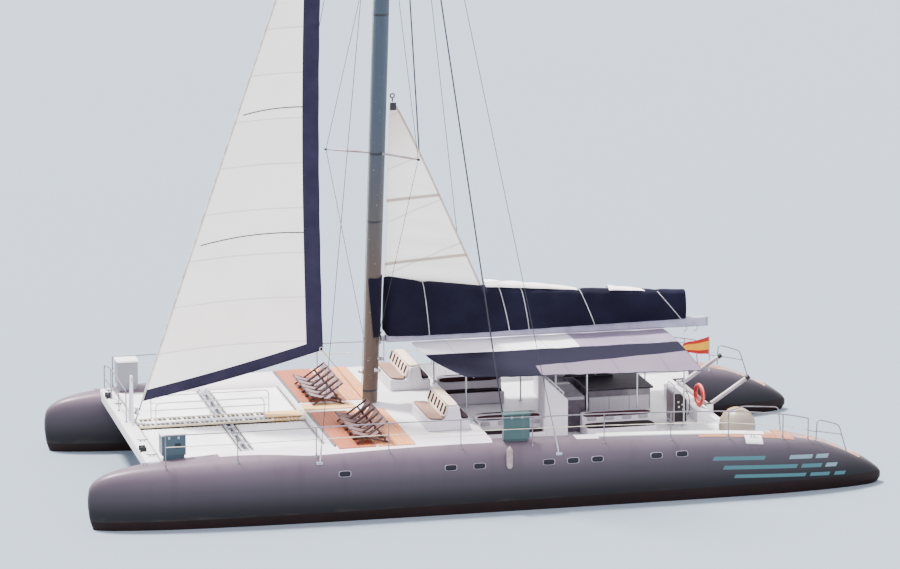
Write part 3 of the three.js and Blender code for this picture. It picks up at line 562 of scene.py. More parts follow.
# Screen colours of bare steel, and of shade, dirt and wear, 0 to 255
STEEL = (206, 208, 212)
RUN_GREY = (96, 90, 90)
STERN_SHADE = (84, 96, 102)
LOW_SHADE = (90, 86, 92)
WATER_SHADE = (40, 39, 43)
DECK_PAINT = (232, 228, 234)
SCUM = (92, 84, 76)
BOOT_DARK, BOOT_LIGHT = (40, 23, 25), (62, 38, 38)
GRIME, SCUFF = (150, 140, 126), (120, 116, 112)
BARE_CHIP = (70, 66, 62)
SAIL_SOIL, SAIL_LAP, SAIL_THREAD = (226, 221, 213), (184, 182, 180), (150, 140, 128)
HEAD_FOLD_SHADE, LEECH_TAPE, BATTEN_POCKET = (206, 186, 172), (150, 124, 112), (180, 162, 150)
CAULK = (58, 50, 44)
FLAG_HEM, FLAG_FADE = (90, 60, 40), (150, 96, 70)
BUOY_RED, BUOY_TAPE, BUOY_DIRT = (206, 62, 50), (226, 150, 130), (150, 70, 60)
WING_SEAM, ROOF_SEAM = (60, 60, 80), (128, 126, 140)
ROOF_WHITE, ROOF_WHITE_DULL = (240, 238, 244), (228, 224, 234)
ROOF_LILAC, ROOF_LILAC_DULL = (162, 152, 172), (148, 138, 160)
SLING_DIRT = (110, 96, 88)
MAST_LOW, MAST_HIGH, MAST_STREAK, MAST_CHIP = (118, 106, 96), (94, 106, 117), (84, 84, 88), (196, 196, 198)

# Columns: bottom and top of a row of bars at the stern, then the fore and aft end of each bar.
STERN_BARS = [
    (1.06, 1.17, [(-6.0, -7.55), (-8.3, -9.0), (-9.12, -9.5)]),
    (0.80, 0.91, [(-6.44, -8.66), (-8.8, -9.42), (-9.55, -9.9)]),
    (0.55, 0.65, [(-6.9, -9.06), (-9.2, -9.8), (-9.96, -10.3)]),
]


def hull_silver(colours):
    """Silver hull paint over a dark boot top, with short slanted bars in pale and teal at the stern.

    The paint darkens downwards and aft: painted shade and reflection, after what water and sky throw on it.
    White deck paint ends at an edge that moves in and out along the hull, and draws in beside the cockpit as
    painted shade of the canopy.
    """
    s = Shade("hull_silver")
    x, y, z = s.along()
    cloud = s.noise(0.5, 4)
    runs = s.noise(1.0, 4, stretch=(2.6, 2.6, 0.16))
    specks = s.noise(38, 2)
    paint = s.mix(cloud, linear(colours.hull_dark), linear(colours.hull_light))
    paint = s.over(paint, s.step(runs, 0.52, 0.75) * 0.22, RUN_GREY)
    paint = s.over(paint, s.step(x, 4.0, -9.0) * 0.3, STERN_SHADE)
    paint = s.over(paint, s.step(z, 1.7, 0.95) * 0.8, LOW_SHADE)
    paint = s.over(paint, s.step(z, 1.15, 0.35) * 0.9, WATER_SHADE)
    # From x -2.25 to 0.1 the white edge draws in by 0.45 m: hull grey is painted where the canopy's shadow
    # falls on the side deck.
    edge = 4.9 + s.step(x, 1.0, 5.0) * 0.09 - s.step(x, 5.0, 7.8) * 0.42 - s.band(x, -2.25, 0.1, 0.04) * 0.45
    deck = s.step(edge - y.size(), -0.008, 0.008) * s.band(x, -2.93, 7.7, 0.01) * s.step(z, 1.5, 1.55)
    paint = s.over(paint, deck, DECK_PAINT)
    lean = x + (z - 0.9) * 0.5
    outboard = s.step(y.size(), 4.5, 4.52)
    fall = z + (x + 7.0) * -0.045
    for low, high, ends in STERN_BARS:
        for number, (fore, aft) in enumerate(ends):
            inside = s.band(lean, aft, fore) * s.band(fall, low, high) * outboard
            teal = number == 0 or low < 0.7 or (low < 1.0 and number == 1)
            paint = s.over(paint, inside, colours.bar_teal if teal else colours.bar_white)
    scum = s.step(s.noise(1.4, 5, stretch=(1, 1, 4)) + (z - 0.27) * -1.6, 0.35, 0.75) * s.step(z, 0.55, 0.28)
    paint = s.over(paint, scum * 0.5, SCUM)
    boot = 1 - s.step(z + (x - 11.0) * 0.006, 0.235, 0.25)
    colour = s.mix(boot, paint, s.mix(s.noise(3.0, 4), linear(BOOT_DARK), linear(BOOT_LIGHT)))
    rough = 0.34 + cloud * 0.1 + boot * 0.25 + runs * 0.06
    dents = s.bump(s.noise(1.1, 2), 0.012, strength=0.5)
    normal = s.bump(specks, 0.0006, under=dents, strength=0.3)
    return s.done(colour, rough, 0.1 * (1 - boot), normal, Specular_IOR_Level=0.22, Coat_Weight=0.06,
                  Coat_Roughness=0.2)


def gelcoat(name, colour, shade=0.9, rough=0.36, tread=False):
    """Moulded plastic: a clean colour, greyer in soft patches and rain runs, with a faint orange peel.

    Where people tread it, faces that look up have small studs.
    """
    s = Shade(name)
    patch = s.noise(0.9, 4)
    runs = s.noise(1.6, 3, stretch=(3, 3, 0.3))
    full = linear(colour)
    paint = s.mix(s.step(patch, 0.35, 0.7), full, darker(full, shade))
    paint = s.over(paint, s.step(runs, 0.56, 0.8) * 0.2, GRIME)
    scuffs = s.step(s.noise(9.0, 5), 0.6, 0.72)
    paint = s.over(paint, scuffs * 0.12, SCUFF)
    normal = s.bump(s.noise(60, 2), 0.0006, strength=0.25)
    if tread:
        studs = s.node("ShaderNodeTexVoronoi", {"Vector": s.place, "Scale": 120.0}, feature="F1")
        _, _, up = s.along(s.node("ShaderNodeNewGeometry").output("Normal"))
        normal = s.bump(studs * s.step(up, 0.9, 0.99), 0.002, under=normal, strength=0.35)
    rough = rough + scuffs * 0.2 + patch * 0.08
    return s.done(paint, rough, 0.0, normal, Coat_Weight=0.15, Coat_Roughness=0.15)


def bare_metal(name, colour, rough):
    """Metal with fine scratches, and cloudy wear in its gloss."""
    s = Shade(name)
    lines = s.noise(90.0, 4)
    cloud = s.noise(3.0, 4)
    base = linear(colour)
    tone = s.mix(s.step(cloud, 0.4, 0.7), base, darker(base, 0.78))
    rough = rough + lines * 0.14 + cloud * 0.08
    return s.done(tone, rough, 0.9, s.bump(lines, 0.0005, strength=0.3), Coat_Weight=0.0)


def painted(name, colour, worn, rough=0.45):
    """Painted metal, chalked in patches, with small chips in a worn colour."""
    s = Shade(name)
    patch = s.noise(2.0, 5)
    chips = s.step(s.noise(24, 4), 0.66, 0.7)
    tone = s.mix(s.step(patch, 0.3, 0.75), linear(colour), linear(worn))
    tone = s.over(tone, chips * 0.5, BARE_CHIP)
    return s.done(tone, rough + patch * 0.15, 0.25, s.bump(s.noise(70, 3) - chips, 0.0006, strength=0.35))


def cloth(name, colour, second, fold=0.012):
    """Woven cloth: threads from the flat map, and folds from stretched noise."""
    s = Shade(name)
    fade = s.noise(0.8, 4)
    tone = s.mix(s.step(fade, 0.3, 0.75), linear(colour), linear(second))
    folds = s.noise(1.7, 4, stretch=(1.0, 2.0, 1.4))
    normal = s.bump(folds, fold, strength=0.8)
    normal = s.bump(s.weave(0.02), 0.0012, under=normal, strength=0.35)
    return s.done(tone, 0.85 + fade * 0.08, 0.0, normal, Specular_IOR_Level=0.1, Sheen_Weight=0.02)


def sailcloth(name, colours, panel, strip, battens=()):
    """Sail panels sewn across the leech. The flat map holds metres from the leech and from the foot.

    Each panel has its own slight tone from a sine of its number; double stitching and a lap mark its edge.
    A dark strip of sun cloth runs up the leech and along the foot where strip is above nothing. A sail
    with battens, each given by its height at the leech and its fall forward, has tape on the leech and a
    darker, warmer head: painted shade of the folds there. A constant emission paints the light that comes
    through the cloth.
    """
    s = Shade(name)
    _, _, z = s.along()
    leech, foot, _ = s.along(s.flat)
    run = (z + leech * (0.3 if battens else 0.03)) / panel
    tone_step = (run.whole() * 12.9898).sine() * 43758.5453
    tone = s.mix(tone_step.part() * 0.55, linear(colours.sail_light), linear(colours.sail_warm))
    soil = s.noise(0.55, 5)
    tone = s.over(tone, s.step(soil, 0.45, 0.75) * 0.25, SAIL_SOIL)
    edge = run.part()
    lap = s.band(edge, 0.0, 0.028, 0.004)
    stitch = s.band(edge, 0.004, 0.007, 0.001).top(s.band(edge, 0.021, 0.024, 0.001))
    tone = s.over(tone, lap * 0.4, SAIL_LAP)
    tone = s.over(tone, stitch * 0.5, SAIL_THREAD)
    if battens:
        # Darker and warmer towards the head: painted shade of the folds there.
        tone = s.over(tone, s.step(z, 8.6, 10.4) * 0.5, HEAD_FOLD_SHADE)
        tone = s.over(tone, (1 - s.step(leech, 0.05, 0.09)) * 0.7, LEECH_TAPE)
        for high, fall in battens:
            pocket = s.band(z + leech * fall, high - 0.045, high + 0.045, 0.015)
            tone = s.over(tone, pocket * 0.85, BATTEN_POCKET)
    if strip:
        across_strip = 1 - s.step(leech, strip - 0.004, strip + 0.004)
        across_strip = across_strip.top(1 - s.step(foot, strip * 0.72 - 0.004, strip * 0.72 + 0.004))
        navy = s.mix(s.noise(2.0, 4), linear(colours.strip_dark), linear(colours.strip_light))
        tone = s.mix(across_strip, tone, navy)
    ripples = s.noise(1.0, 4, stretch=(0.8, 0.8, 2.6))
    normal = s.bump(ripples, 0.03, strength=0.5)
    normal = s.bump(lap, 0.002, under=normal, strength=0.7)
    normal = s.bump(s.noise(150.0, 2), 0.0008, under=normal, strength=0.4)
    return s.done(tone, 0.62 + soil * 0.12, 0.0, normal, Specular_IOR_Level=0.12, Emission_Color=tone,
                  Emission_Strength=0.55)


def wood(name, colour, dark, plank=0.0, scale=1.0, coat=0.25, along="X"):
    """Wood grain drawn out along one axis, in planks with dark caulking where plank is above nothing."""
    s = Shade(name)
    x, y, _ = s.along()
    stretch = (0.06, 1.0, 1.0) if along == "X" else (1.0, 0.06, 1.0)
    grain = s.noise(26 * scale, 6, stretch=stretch, rough=0.62)
    rings = s.noise(5 * scale, 3, stretch=stretch)
    tone = s.mix(s.step(grain, 0.34, 0.7), linear(colour), linear(dark))
    tone = s.over(tone, s.step(rings, 0.45, 0.65) * 0.3, dark)
    height = grain
    if plank:
        course = (y if along == "X" else x) / plank
        each = ((course.whole() * 78.233).sine() * 4375.85).part()
        tone = s.over(tone, each * 0.25, dark)
        caulk = s.band(course.part(), 0.0, 0.07, 0.012)
        tone = s.over(tone, caulk * 0.8, CAULK)
        height = grain - caulk * 2.0
    return s.done(tone, 0.5 + grain * 0.2, 0.0, s.bump(height, 0.0012, strength=0.5), Coat_Weight=coat)


NET_PITCH = 0.045


def mesh_net(name, colour):
    """A close net: two sets of cords a pitch apart, see-through between them."""
    s = Shade(name)
    x, y, _ = s.along()
    cord_x = (x * (math.pi / NET_PITCH)).sine().size()
    cord_y = (y * (math.pi / NET_PITCH)).sine().size()
    closeness = cord_x.top(cord_y)
    alpha = s.step(closeness, 0.22, 0.42)
    tone = s.mix(s.step(s.noise(0.7, 4), 0.35, 0.7), linear(colour), linear(colour, 0.93))
    normal = s.bump(closeness, 0.004, under=s.bump(s.noise(1.6, 4), 0.03, strength=0.7), strength=0.5)
    return s.done(tone, 0.8, 0.0, normal, Alpha=alpha)


def rope(name, colour, fleck):
    """Laid rope: strands wind round it by the flat map's turn and length, with a fleck of another colour."""
    s = Shade(name)
    turn, run, _ = s.along(s.flat)
    strand = ((turn * 3.0 + run * 18.0) * (2 * math.pi)).sine()
    tone = s.mix(s.step(strand, 0.1, 0.9) * 0.45, linear(colour), linear(fleck))
    fuzz = s.noise(60, 3)
    return s.done(tone, 0.8 + fuzz * 0.1, 0.0, s.bump(strand + fuzz, 0.002, strength=0.6))


def plain(name, colour, rough=0.5, metal=0.0, grain=40.0, variety=0.85, **fixed):
    """A moulded or dipped finish: one colour with cloudy variety and a fine grain."""
    s = Shade(name)
    cloud = s.noise(4.0, 4)
    tone = s.mix(s.step(cloud, 0.35, 0.7), linear(colour), linear(colour, variety))
    normal = s.bump(s.noise(grain, 3), 0.0008, strength=0.35)
    return s.done(tone, rough + cloud * 0.12, metal, normal, **fixed)


def flag_cloth(name, colours):
    """Three bands along the fly, the middle one twice as deep, with the weave and hem of bunting."""
    s = Shade(name)
    along_fly, down, _ = s.along(s.flat)
    middle = s.band(down, 0.25, 0.75, 0.006)
    tone = s.mix(middle, linear(colours.flag_red), linear(colours.flag_yellow))
    hem = s.step(along_fly, 0.975, 0.985).top(1 - s.step(along_fly, 0.02, 0.03))
    tone = s.over(tone, hem * 0.25, FLAG_HEM)
    tone = s.over(tone, s.step(s.noise(5.0, 4), 0.4, 0.75) * 0.2, FLAG_FADE)
    return s.done(tone, 0.85, 0.0, s.bump(s.weave(0.02), 0.001, strength=0.4))


def ring_buoy(name):
    """Red with four faded bands, by the angle round the buoy's middle."""
    s = Shade(name)
    turn, _, _ = s.along(s.flat)
    tape = s.band((turn * 4.0).part(), 0.46, 0.54, 0.01)
    tone = s.mix(tape * 0.4, linear(BUOY_RED), linear(BUOY_TAPE))
    tone = s.over(tone, s.step(s.noise(9, 4), 0.5, 0.75) * 0.3, BUOY_DIRT)
    return s.done(tone, 0.5, 0.0, s.bump(s.noise(30, 3), 0.002, strength=0.4))


def wing_canvas(colours, navy_front=True):
    """Canopy side: pale lilac grey, with navy along the shoulder and all of the front where it has navy."""
    s = Shade("wing_canvas" if navy_front else "wing_canvas_pale")
    x, y, _ = s.along()
    edge = 2.3 + (x + 2.0) * 0.13
    pale = s.step(y.size() - edge, -0.01, 0.01) * s.step(x, -1.74, -1.78) if navy_front else 1.0
    fade = s.noise(0.9, 4)
    navy = s.mix(fade, linear(colours.navy), linear(colours.navy_faded))
    light = s.mix(fade, linear(colours.canopy_pale), linear(colours.canopy_grey))
    seam = s.band(((x + 20.0) / 1.45).part(), 0.0, 0.02, 0.004)
    tone = s.over(s.mix(pale, navy, light), seam * 0.3, WING_SEAM)
    folds = s.noise(1.3, 4, stretch=(1.6, 0.6, 1.0))
    normal = s.bump(folds, 0.03, strength=0.6)
    normal = s.bump(seam, 0.004, under=normal, strength=0.6)
    normal = s.bump(s.weave(0.02), 0.001, under=normal, strength=0.3)
    return s.done(tone, 0.85, 0.0, normal, Specular_IOR_Level=0.1)


def tarpaulin(name):
    """Sheeted roof cloth: white forward and lilac grey aft, with cross seams and soft puckers beside each."""
    s = Shade(name)
    x, _, _ = s.along()
    phase = ((x + 20.0) / 1.35).part()
    seam = s.band(phase, 0.0, 0.025, 0.005)
    pucker = s.noise(6.0, 3, stretch=(0.4, 2.4, 1.0)) * (1 - s.step(phase, 0.03, 0.22))
    cloud = s.noise(0.8, 4)
    dull = s.step(cloud, 0.4, 0.72)
    white = s.mix(dull, linear(ROOF_WHITE), linear(ROOF_WHITE_DULL))
    lilac = s.mix(dull, linear(ROOF_LILAC), linear(ROOF_LILAC_DULL))
    tone = s.over(s.mix(s.step(x, -3.35, -3.42), white, lilac), seam * 0.3, ROOF_SEAM)
    normal = s.bump(s.noise(0.9, 4, stretch=(1.2, 0.5, 1.0)), 0.05, strength=0.5)
    normal = s.bump(pucker + seam, 0.008, under=normal, strength=0.6)
    return s.done(tone, 0.6 + cloud * 0.1, 0.0, normal)


# Settings


def tint(name, description, default):
    """A screen colour: red, green and blue from 0 to 255."""
    return bpy.props.IntVectorProperty(name=name, description=description, default=default, min=0, max=255)


def metres(name, description, default):
    """A length in metres."""
    return bpy.props.FloatProperty(name=name, description=description, default=default, unit="LENGTH")


class BoatColours(bpy.types.PropertyGroup):
    """Screen colours, 0 to 255, of the boat's finishes."""

    hull_light: tint("Hull, light", "Silver paint where it is cleanest", (138, 125, 137))
    hull_dark: tint("Hull, dark", "Silver paint where it is dullest", (127, 114, 126))
    bar_white: tint("Stern bars, pale", "Pale bars at the stern", (146, 170, 178))
    bar_teal: tint("Stern bars, teal", "Teal bars at the stern", (98, 141, 146))
    white: tint("White", "Deck mouldings", (236, 236, 238))
    teal: tint("Lockers", "Grey-teal lockers", (84, 108, 119))
    pad_tan: tint("Deck pads", "Tan boards on the foredeck", (196, 128, 92))
    navy: tint("Canopy navy", "Navy canvas", (50, 48, 66))
    navy_faded: tint("Canopy navy, faded", "Navy canvas bleached by the sun", (58, 56, 76))
    canopy_pale: tint("Canopy pale", "Aft side of the canopy", (148, 138, 153))
    canopy_grey: tint("Canopy grey", "Aft side of the canopy, shaded", (136, 127, 142))
    cover: tint("Sail cover", "Cover over the stowed mainsail", (44, 43, 62))
    cover_faded: tint("Sail cover, faded", "Top of the cover", (56, 55, 76))
    sail_light: tint("Sail, light", "Lightest sail panels", (252, 250, 247))
    sail_warm: tint("Sail, warm", "Warmest sail panels", (249, 243, 235))
    strip_dark: tint("Sun strip, dark", "Sun cloth on the headsail's edges", (52, 50, 72))
    strip_light: tint("Sun strip, light", "Sun cloth, faded", (78, 74, 96))
    flag_red: tint("Flag red", "Outer bands of the flag", (206, 44, 34))
    flag_yellow: tint("Flag yellow", "Middle band of the flag", (246, 196, 44))
    chair: tint("Chair wood", "Stained wood of the deck chairs", (96, 40, 38))


class BoatSizes(bpy.types.PropertyGroup):
    """Sizes that the dressing adds to the solids'."""

    panel: metres("Sail panel", "Width of one sail panel", 1.29)
    strip: metres("Sun strip", "Width of the dark strip on the headsail", 0.45)
    rail: metres("Rail tube", "Radius of the guard rails' top tube", 0.017)
    wire: metres("Guard wire", "Radius of the guard rails' middle line", 0.011)
    port_length: metres("Porthole length", "Outside length of a porthole's frame", 0.36)
    port_height: metres("Porthole height", "Outside height of a porthole's frame", 0.17)
    edge: metres("Moulding edge", "Rounding of the deck mouldings", 0.03)


class BoatStage(bpy.types.PropertyGroup):
    """Camera, floor and light."""

    lens: bpy.props.FloatProperty(name="Lens", description="Camera lens, mm", default=164.9)
    from_place: bpy.props.FloatVectorProperty(
        name="Camera", description="Where the camera stands", default=(26.16, 112.24, 29.87), unit="LENGTH")
    towards: bpy.props.FloatVectorProperty(
        name="Target", description="Where the camera looks", default=(0.187, 0.0, 5.34), unit="LENGTH")
    roll: bpy.props.FloatProperty(
        name="Roll", description="Camera roll", default=math.radians(-0.075), subtype="ANGLE")
    floor: tint("Floor", "Floor colour", (156, 168, 179))
    sun: bpy.props.FloatProperty(name="Key light", description="Strength of the key light", default=12.5)
    sky: bpy.props.FloatProperty(name="Fill light", description="Strength of the sky's light", default=2.4)


def settings(context):
    """The colours and the sizes."""
    return context.scene.boat_colours, context.scene.boat_sizes


FLOOR_REACH = 900.0
VIEW_REACH = 2500.0
SENSOR_WIDTH = 36.0
KEY_FROM = (0.3, -0.35, 1.0)
KEY_SPREAD = math.radians(9)
KEY_COLOUR = (1.0, 0.97, 0.92)
SKY_COLOUR = (250, 247, 252)


class BOAT_OT_stage(bpy.types.Operator):
    """Floor at the waterline, soft light all round, one broad key light, and the camera"""

    bl_idname = "boat.stage"
    bl_label = "Stage"

    def execute(self, context):
        stage = context.scene.boat_stage
        corners = [(i * FLOOR_REACH, j * FLOOR_REACH, 0) for i, j in ((-1, -1), (1, -1), (1, 1), (-1, 1))]
        mesh = bpy.data.meshes.new("floor")
        mesh.from_pydata(corners, [], [(0, 1, 2, 3)])
        s = Shade("floor")
        tone = s.mix(s.noise(0.05, 3) * 0.3, linear(stage.floor), linear(stage.floor, 0.97))
        mesh.materials.append(s.done(tone, 0.9))
        placed("floor", mesh)
        world = bpy.data.worlds.new("studio")
        world.use_nodes = True
        sky = world.node_tree.nodes["Background"]
        sky.inputs["Color"].default_value = linear(SKY_COLOUR)
        sky.inputs["Strength"].default_value = stage.sky
        context.scene.world = world
        key = bpy.data.lights.new("key", "SUN")
        key.energy, key.angle, key.color = stage.sun, KEY_SPREAD, KEY_COLOUR
        placed("key", key).rotation_euler = Vector(KEY_FROM).to_track_quat("Z", "Y").to_euler()
        camera = bpy.data.cameras.new("camera")
        camera.lens, camera.sensor_width, camera.clip_end = stage.lens, SENSOR_WIDTH, VIEW_REACH
        eye = placed("camera", camera)
        away = Vector(stage.from_place) - Vector(stage.towards)
        eye.rotation_euler = away.to_track_quat("Z", "Y").to_euler()
        eye.location = stage.from_place
        eye.rotation_euler.rotate_axis("Z", stage.roll)
        context.scene.camera = eye
        return {"FINISHED"}


# Hulls

# Columns: x, keel z, half beam, deck z of each hull section.
HULL_ROWS = [
    (11.33, 0.60, 0.04, 0.90), (11.27, 0.20, 0.13, 1.17), (11.08, -0.22, 0.24, 1.37),
    (10.70, -0.47, 0.37, 1.54), (10.00, -0.62, 0.51, 1.68), (9.00, -0.72, 0.64, 1.775),
    (7.00, -0.79, 0.77, 1.88), (4.60, -0.84, 0.83, 1.945), (1.00, -0.87, 0.85, 1.945),
    (-2.50, -0.83, 0.85, 1.89), (-5.50, -0.70, 0.84, 1.80), (-7.80, -0.52, 0.80, 1.65),
    (-9.20, -0.37, 0.70, 1.42), (-10.10, -0.24, 0.56, 1.09), (-10.75, -0.12, 0.40, 0.76),
    (-11.15, 0.0, 0.22, 0.48), (-11.29, 0.12, 0.07, 0.32),
]
HULL_CURVE = smooth_rows(HULL_ROWS, 7)
# Each section is widest at its waist, a share of the way up, and is a super-ellipse above and below it.
WAIST = 0.58
TOP_POWER = 2 / 3.2
BOTTOM_POWER = 2 / 2.5
QUARTER_STEPS = 16
# Columns: x aft, x forward, floor z of each step.
STERN_STEPS = [(-9.3, -8.6, 1.34), (-9.95, -9.3, 1.09), (-10.6, -9.95, 0.82)]
STEP_HALF = 0.33
PORTHOLES_X = (4.36, 1.39, 0.58, -1.39, -2.08, -2.78, -4.48, -5.22)
PORTHOLE_Z = 1.345
PORTHOLE_POWER = 2 / 4
# Columns: x, z of the outboard brackets that take a stay.
CHAINPLATES = [(-1.69, 1.56), (5.04, 1.67)]


def hull_rings(rows):
    """Each section is two quarter super-ellipses a side, from the top over the waist to the keel.

    The angle runs as t^1.5 / (t^1.5 + (1-t)^1.5), which evens out the spacing of the points.
    """
    x, keel, half, deck = (rows[:, k, None] for k in range(4))
    t = np.linspace(0, 1, QUARTER_STEPS)
    angle = math.pi / 2 * t ** 1.5 / (t ** 1.5 + (1 - t) ** 1.5)
    c, s = np.cos(angle).clip(0), np.sin(angle).clip(0)
    c[-1] = 0
    waist = keel + WAIST * (deck - keel)
    top_y, top_z = half * c ** TOP_POWER, waist + (deck - waist) * s ** TOP_POWER
    low_y, low_z = half * c ** BOTTOM_POWER, waist - (waist - keel) * s ** BOTTOM_POWER
    out_y = np.concatenate([top_y[:, ::-1], low_y[:, 1:]], 1)
    out_z = np.concatenate([top_z[:, ::-1], low_z[:, 1:]], 1)
    y = np.concatenate([out_y, -out_y[:, -2:0:-1]], 1)
    z = np.concatenate([out_z, out_z[:, -2:0:-1]], 1)
    return np.stack([np.broadcast_to(x, y.shape), y + HULL_Y, z], -1)


def hull_section(x):
    """Keel z, half beam and deck z at places along the hull."""
    rows = HULL_CURVE[::-1]
    return [np.interp(x, rows[:, 0], rows[:, k]) for k in (1, 2, 3)]


def hull_side(x, z):
    """How far the hull's skin lies from its centreline at a height above its waist."""
    keel, half, deck = hull_section(x)
    waist = keel + WAIST * (deck - keel)
    share = ((np.asarray(z, float) - waist) / (deck - waist)).clip(0, 1)
    return half * (1 - share ** (2 / TOP_POWER)).clip(0) ** (TOP_POWER / 2)


def hull_top(x, out):
    """Height of the hull's deck at a distance from its centreline."""
    keel, half, deck = hull_section(x)
    waist = keel + WAIST * (deck - keel)
    share = (np.abs(out) / half).clip(0, 1)
    return waist + (deck - waist) * (1 - share ** (2 / TOP_POWER)).clip(0) ** (TOP_POWER / 2)


def on_hull(x, out, lift):
    """Places on the hull's deck, lifted: a grid over x and the distance outboard of the hull's centreline."""
    return np.stack([x, HULL_Y + out, hull_top(x, out) + lift], -1)


def deck_skin(x_low, x_high, out_low, out_high, lift, thick, steps=(40, 8)):
    """A thin closed board that lies on the curved deck: its upper grid, then its lower one run back."""
    along, across = np.linspace(x_low, x_high, steps[0]), np.linspace(out_low, out_high, steps[1])
    x, out = np.meshgrid(along, across, indexing="ij")
    upper, lower = on_hull(x, out, lift), on_hull(x, out, lift - thick)
    return loft(np.concatenate([upper, lower[:, ::-1]], 1))


def on_side_skin(x, z, lift):
    """Places on the outer side of the port hull, lifted."""
    return np.stack([x, HULL_Y + hull_side(x, z) + lift, z], -1)


# Columns: share of the porthole's size and lift off the skin, from one edge over its face to the other.
PORTHOLE_FRAME = [(1.0, -0.012), (0.97, 0.014), (0.88, 0.014), (0.85, -0.012)]
PORTHOLE_PANE = [(0.0, 0.009), (0.4, 0.008), (0.87, 0.005), (0.87, -0.01), (0.4, -0.01), (0.0, -0.01)]


def porthole(x, sizes, rows, around):
    """Rings on the hull's side, each a super-ellipse of power 4 round the porthole's middle."""
    angle = round_angles(28)
    wide = sizes.port_length / 2 * signed_power(np.cos(angle), PORTHOLE_POWER)
    high = sizes.port_height / 2 * signed_power(np.sin(angle), PORTHOLE_POWER)
    shares, lifts = np.array(rows).T[:, :, None]
    rings = on_side_skin(x + wide * shares, PORTHOLE_Z + high * shares, lifts)
    return lattice(rings, wrap=True, around=around).outward()


# Columns: x, bottom z, half width along the keel.
FIN_ROWS = [
    (1.9, -0.7, 0.09), (1.5, -1.44, 0.06), (1.2, -1.48, 0.06), (-1.2, -1.52, 0.06), (-1.5, -1.5, 0.06),
    (-2.0, -0.7, 0.09),
]
FIN_TOP_Z = -0.5
SHAFT_Z = -0.98


def keel_form():
    """The low keel, the skeg over the shaft, the strut and barrel that carry it, and the rudder's pad."""
    t = np.linspace(0, math.pi, 9)
    rings = []
    for x, low, half in smooth_rows(FIN_ROWS, 5):
        ring = np.stack([np.full(9, x), half * np.cos(t), low + 0.06 * (1 - np.sin(t))], -1)
        rings.append(np.vstack([[x, half, FIN_TOP_Z], ring, [x, -half, FIN_TOP_Z]]))
    fin = loft(rings)
    skeg = prism([(-3.6, -0.6), (-5.3, -0.6), (-5.3, -1.04), (-4.9, -1.04)], 1, -0.05, 0.05)
    sleeve = rod((-4.9, 0, SHAFT_Z), (-5.36, 0, SHAFT_Z), 0.06, sides=24)
    strut = prism([(-6.7, -0.4), (-6.9, -0.4), (-6.9, -0.93), (-6.7, -0.93)], 1, -0.014, 0.014)
    barrel = lathe([(0.036, -0.12), (0.062, -0.12), (0.062, 0.12), (0.036, 0.12), (0.036, -0.12)],
                   (-6.8, 0, SHAFT_Z), (1, 0, 0))
    pad = rod((-8.5, 0, -0.6), (-8.5, 0, -0.2), 0.08, sides=24)
    return joined([fin, skeg, sleeve, strut, barrel, pad]).moved(y=HULL_Y)


# Columns: share of the length, height over the deck.
CLEAT_HORNS = [(-0.5, 0.075), (-0.25, 0.055), (0.25, 0.055), (0.5, 0.075)]


def cleat(x, out, top, long=0.26):
    """A horn cleat: a bar with its ends turned up on two feet."""
    horns = [(x + k * long, out, top + high) for k, high in CLEAT_HORNS]
    feet = [rod((x + k * long / 6, out, top - 0.01), (x + k * long / 6, out, top + 0.055), 0.014)
            for k in (-1, 1)]
    return joined([tube(bent(horns, 0.05), 0.013), *feet])


class BOAT_OT_hulls(bpy.types.Operator):
    """Both hulls with their keels, cockpit wells and stern steps cut in"""

    bl_idname = "boat.hulls"
    bl_label = "Hulls"

    def execute(self, context):
        colours, _ = settings(context)
        silver, white = hull_silver(colours), gelcoat("well_white", colours.white)
        for name, side in SIDES:
            shell = piece(f"{name}_hull_shell", loft(hull_rings(HULL_CURVE)).on_side(side), silver,
                          stands_for=[f"{name}_hull"], slot="hull_paint", crease=50)
            shell.data.materials.append(white)
            well = slab(WELL_X, (2.5, WELL_OUTER_Y), (SOLE_Z, 2.6))
            steps = [slab((aft, fore), (HULL_Y - STEP_HALF, HULL_Y + STEP_HALF), (floor, 2.6))
                     for aft, fore, floor in STERN_STEPS]
            for cutter in (well, *steps):
                carved(shell, cutter.on_side(side), white)
            piece(f"{name}_keel", keel_form().on_side(side), silver, stands_for=[f"{name}_hull"],
                  slot="hull_paint", bevel=0.008)
        return {"FINISHED"}


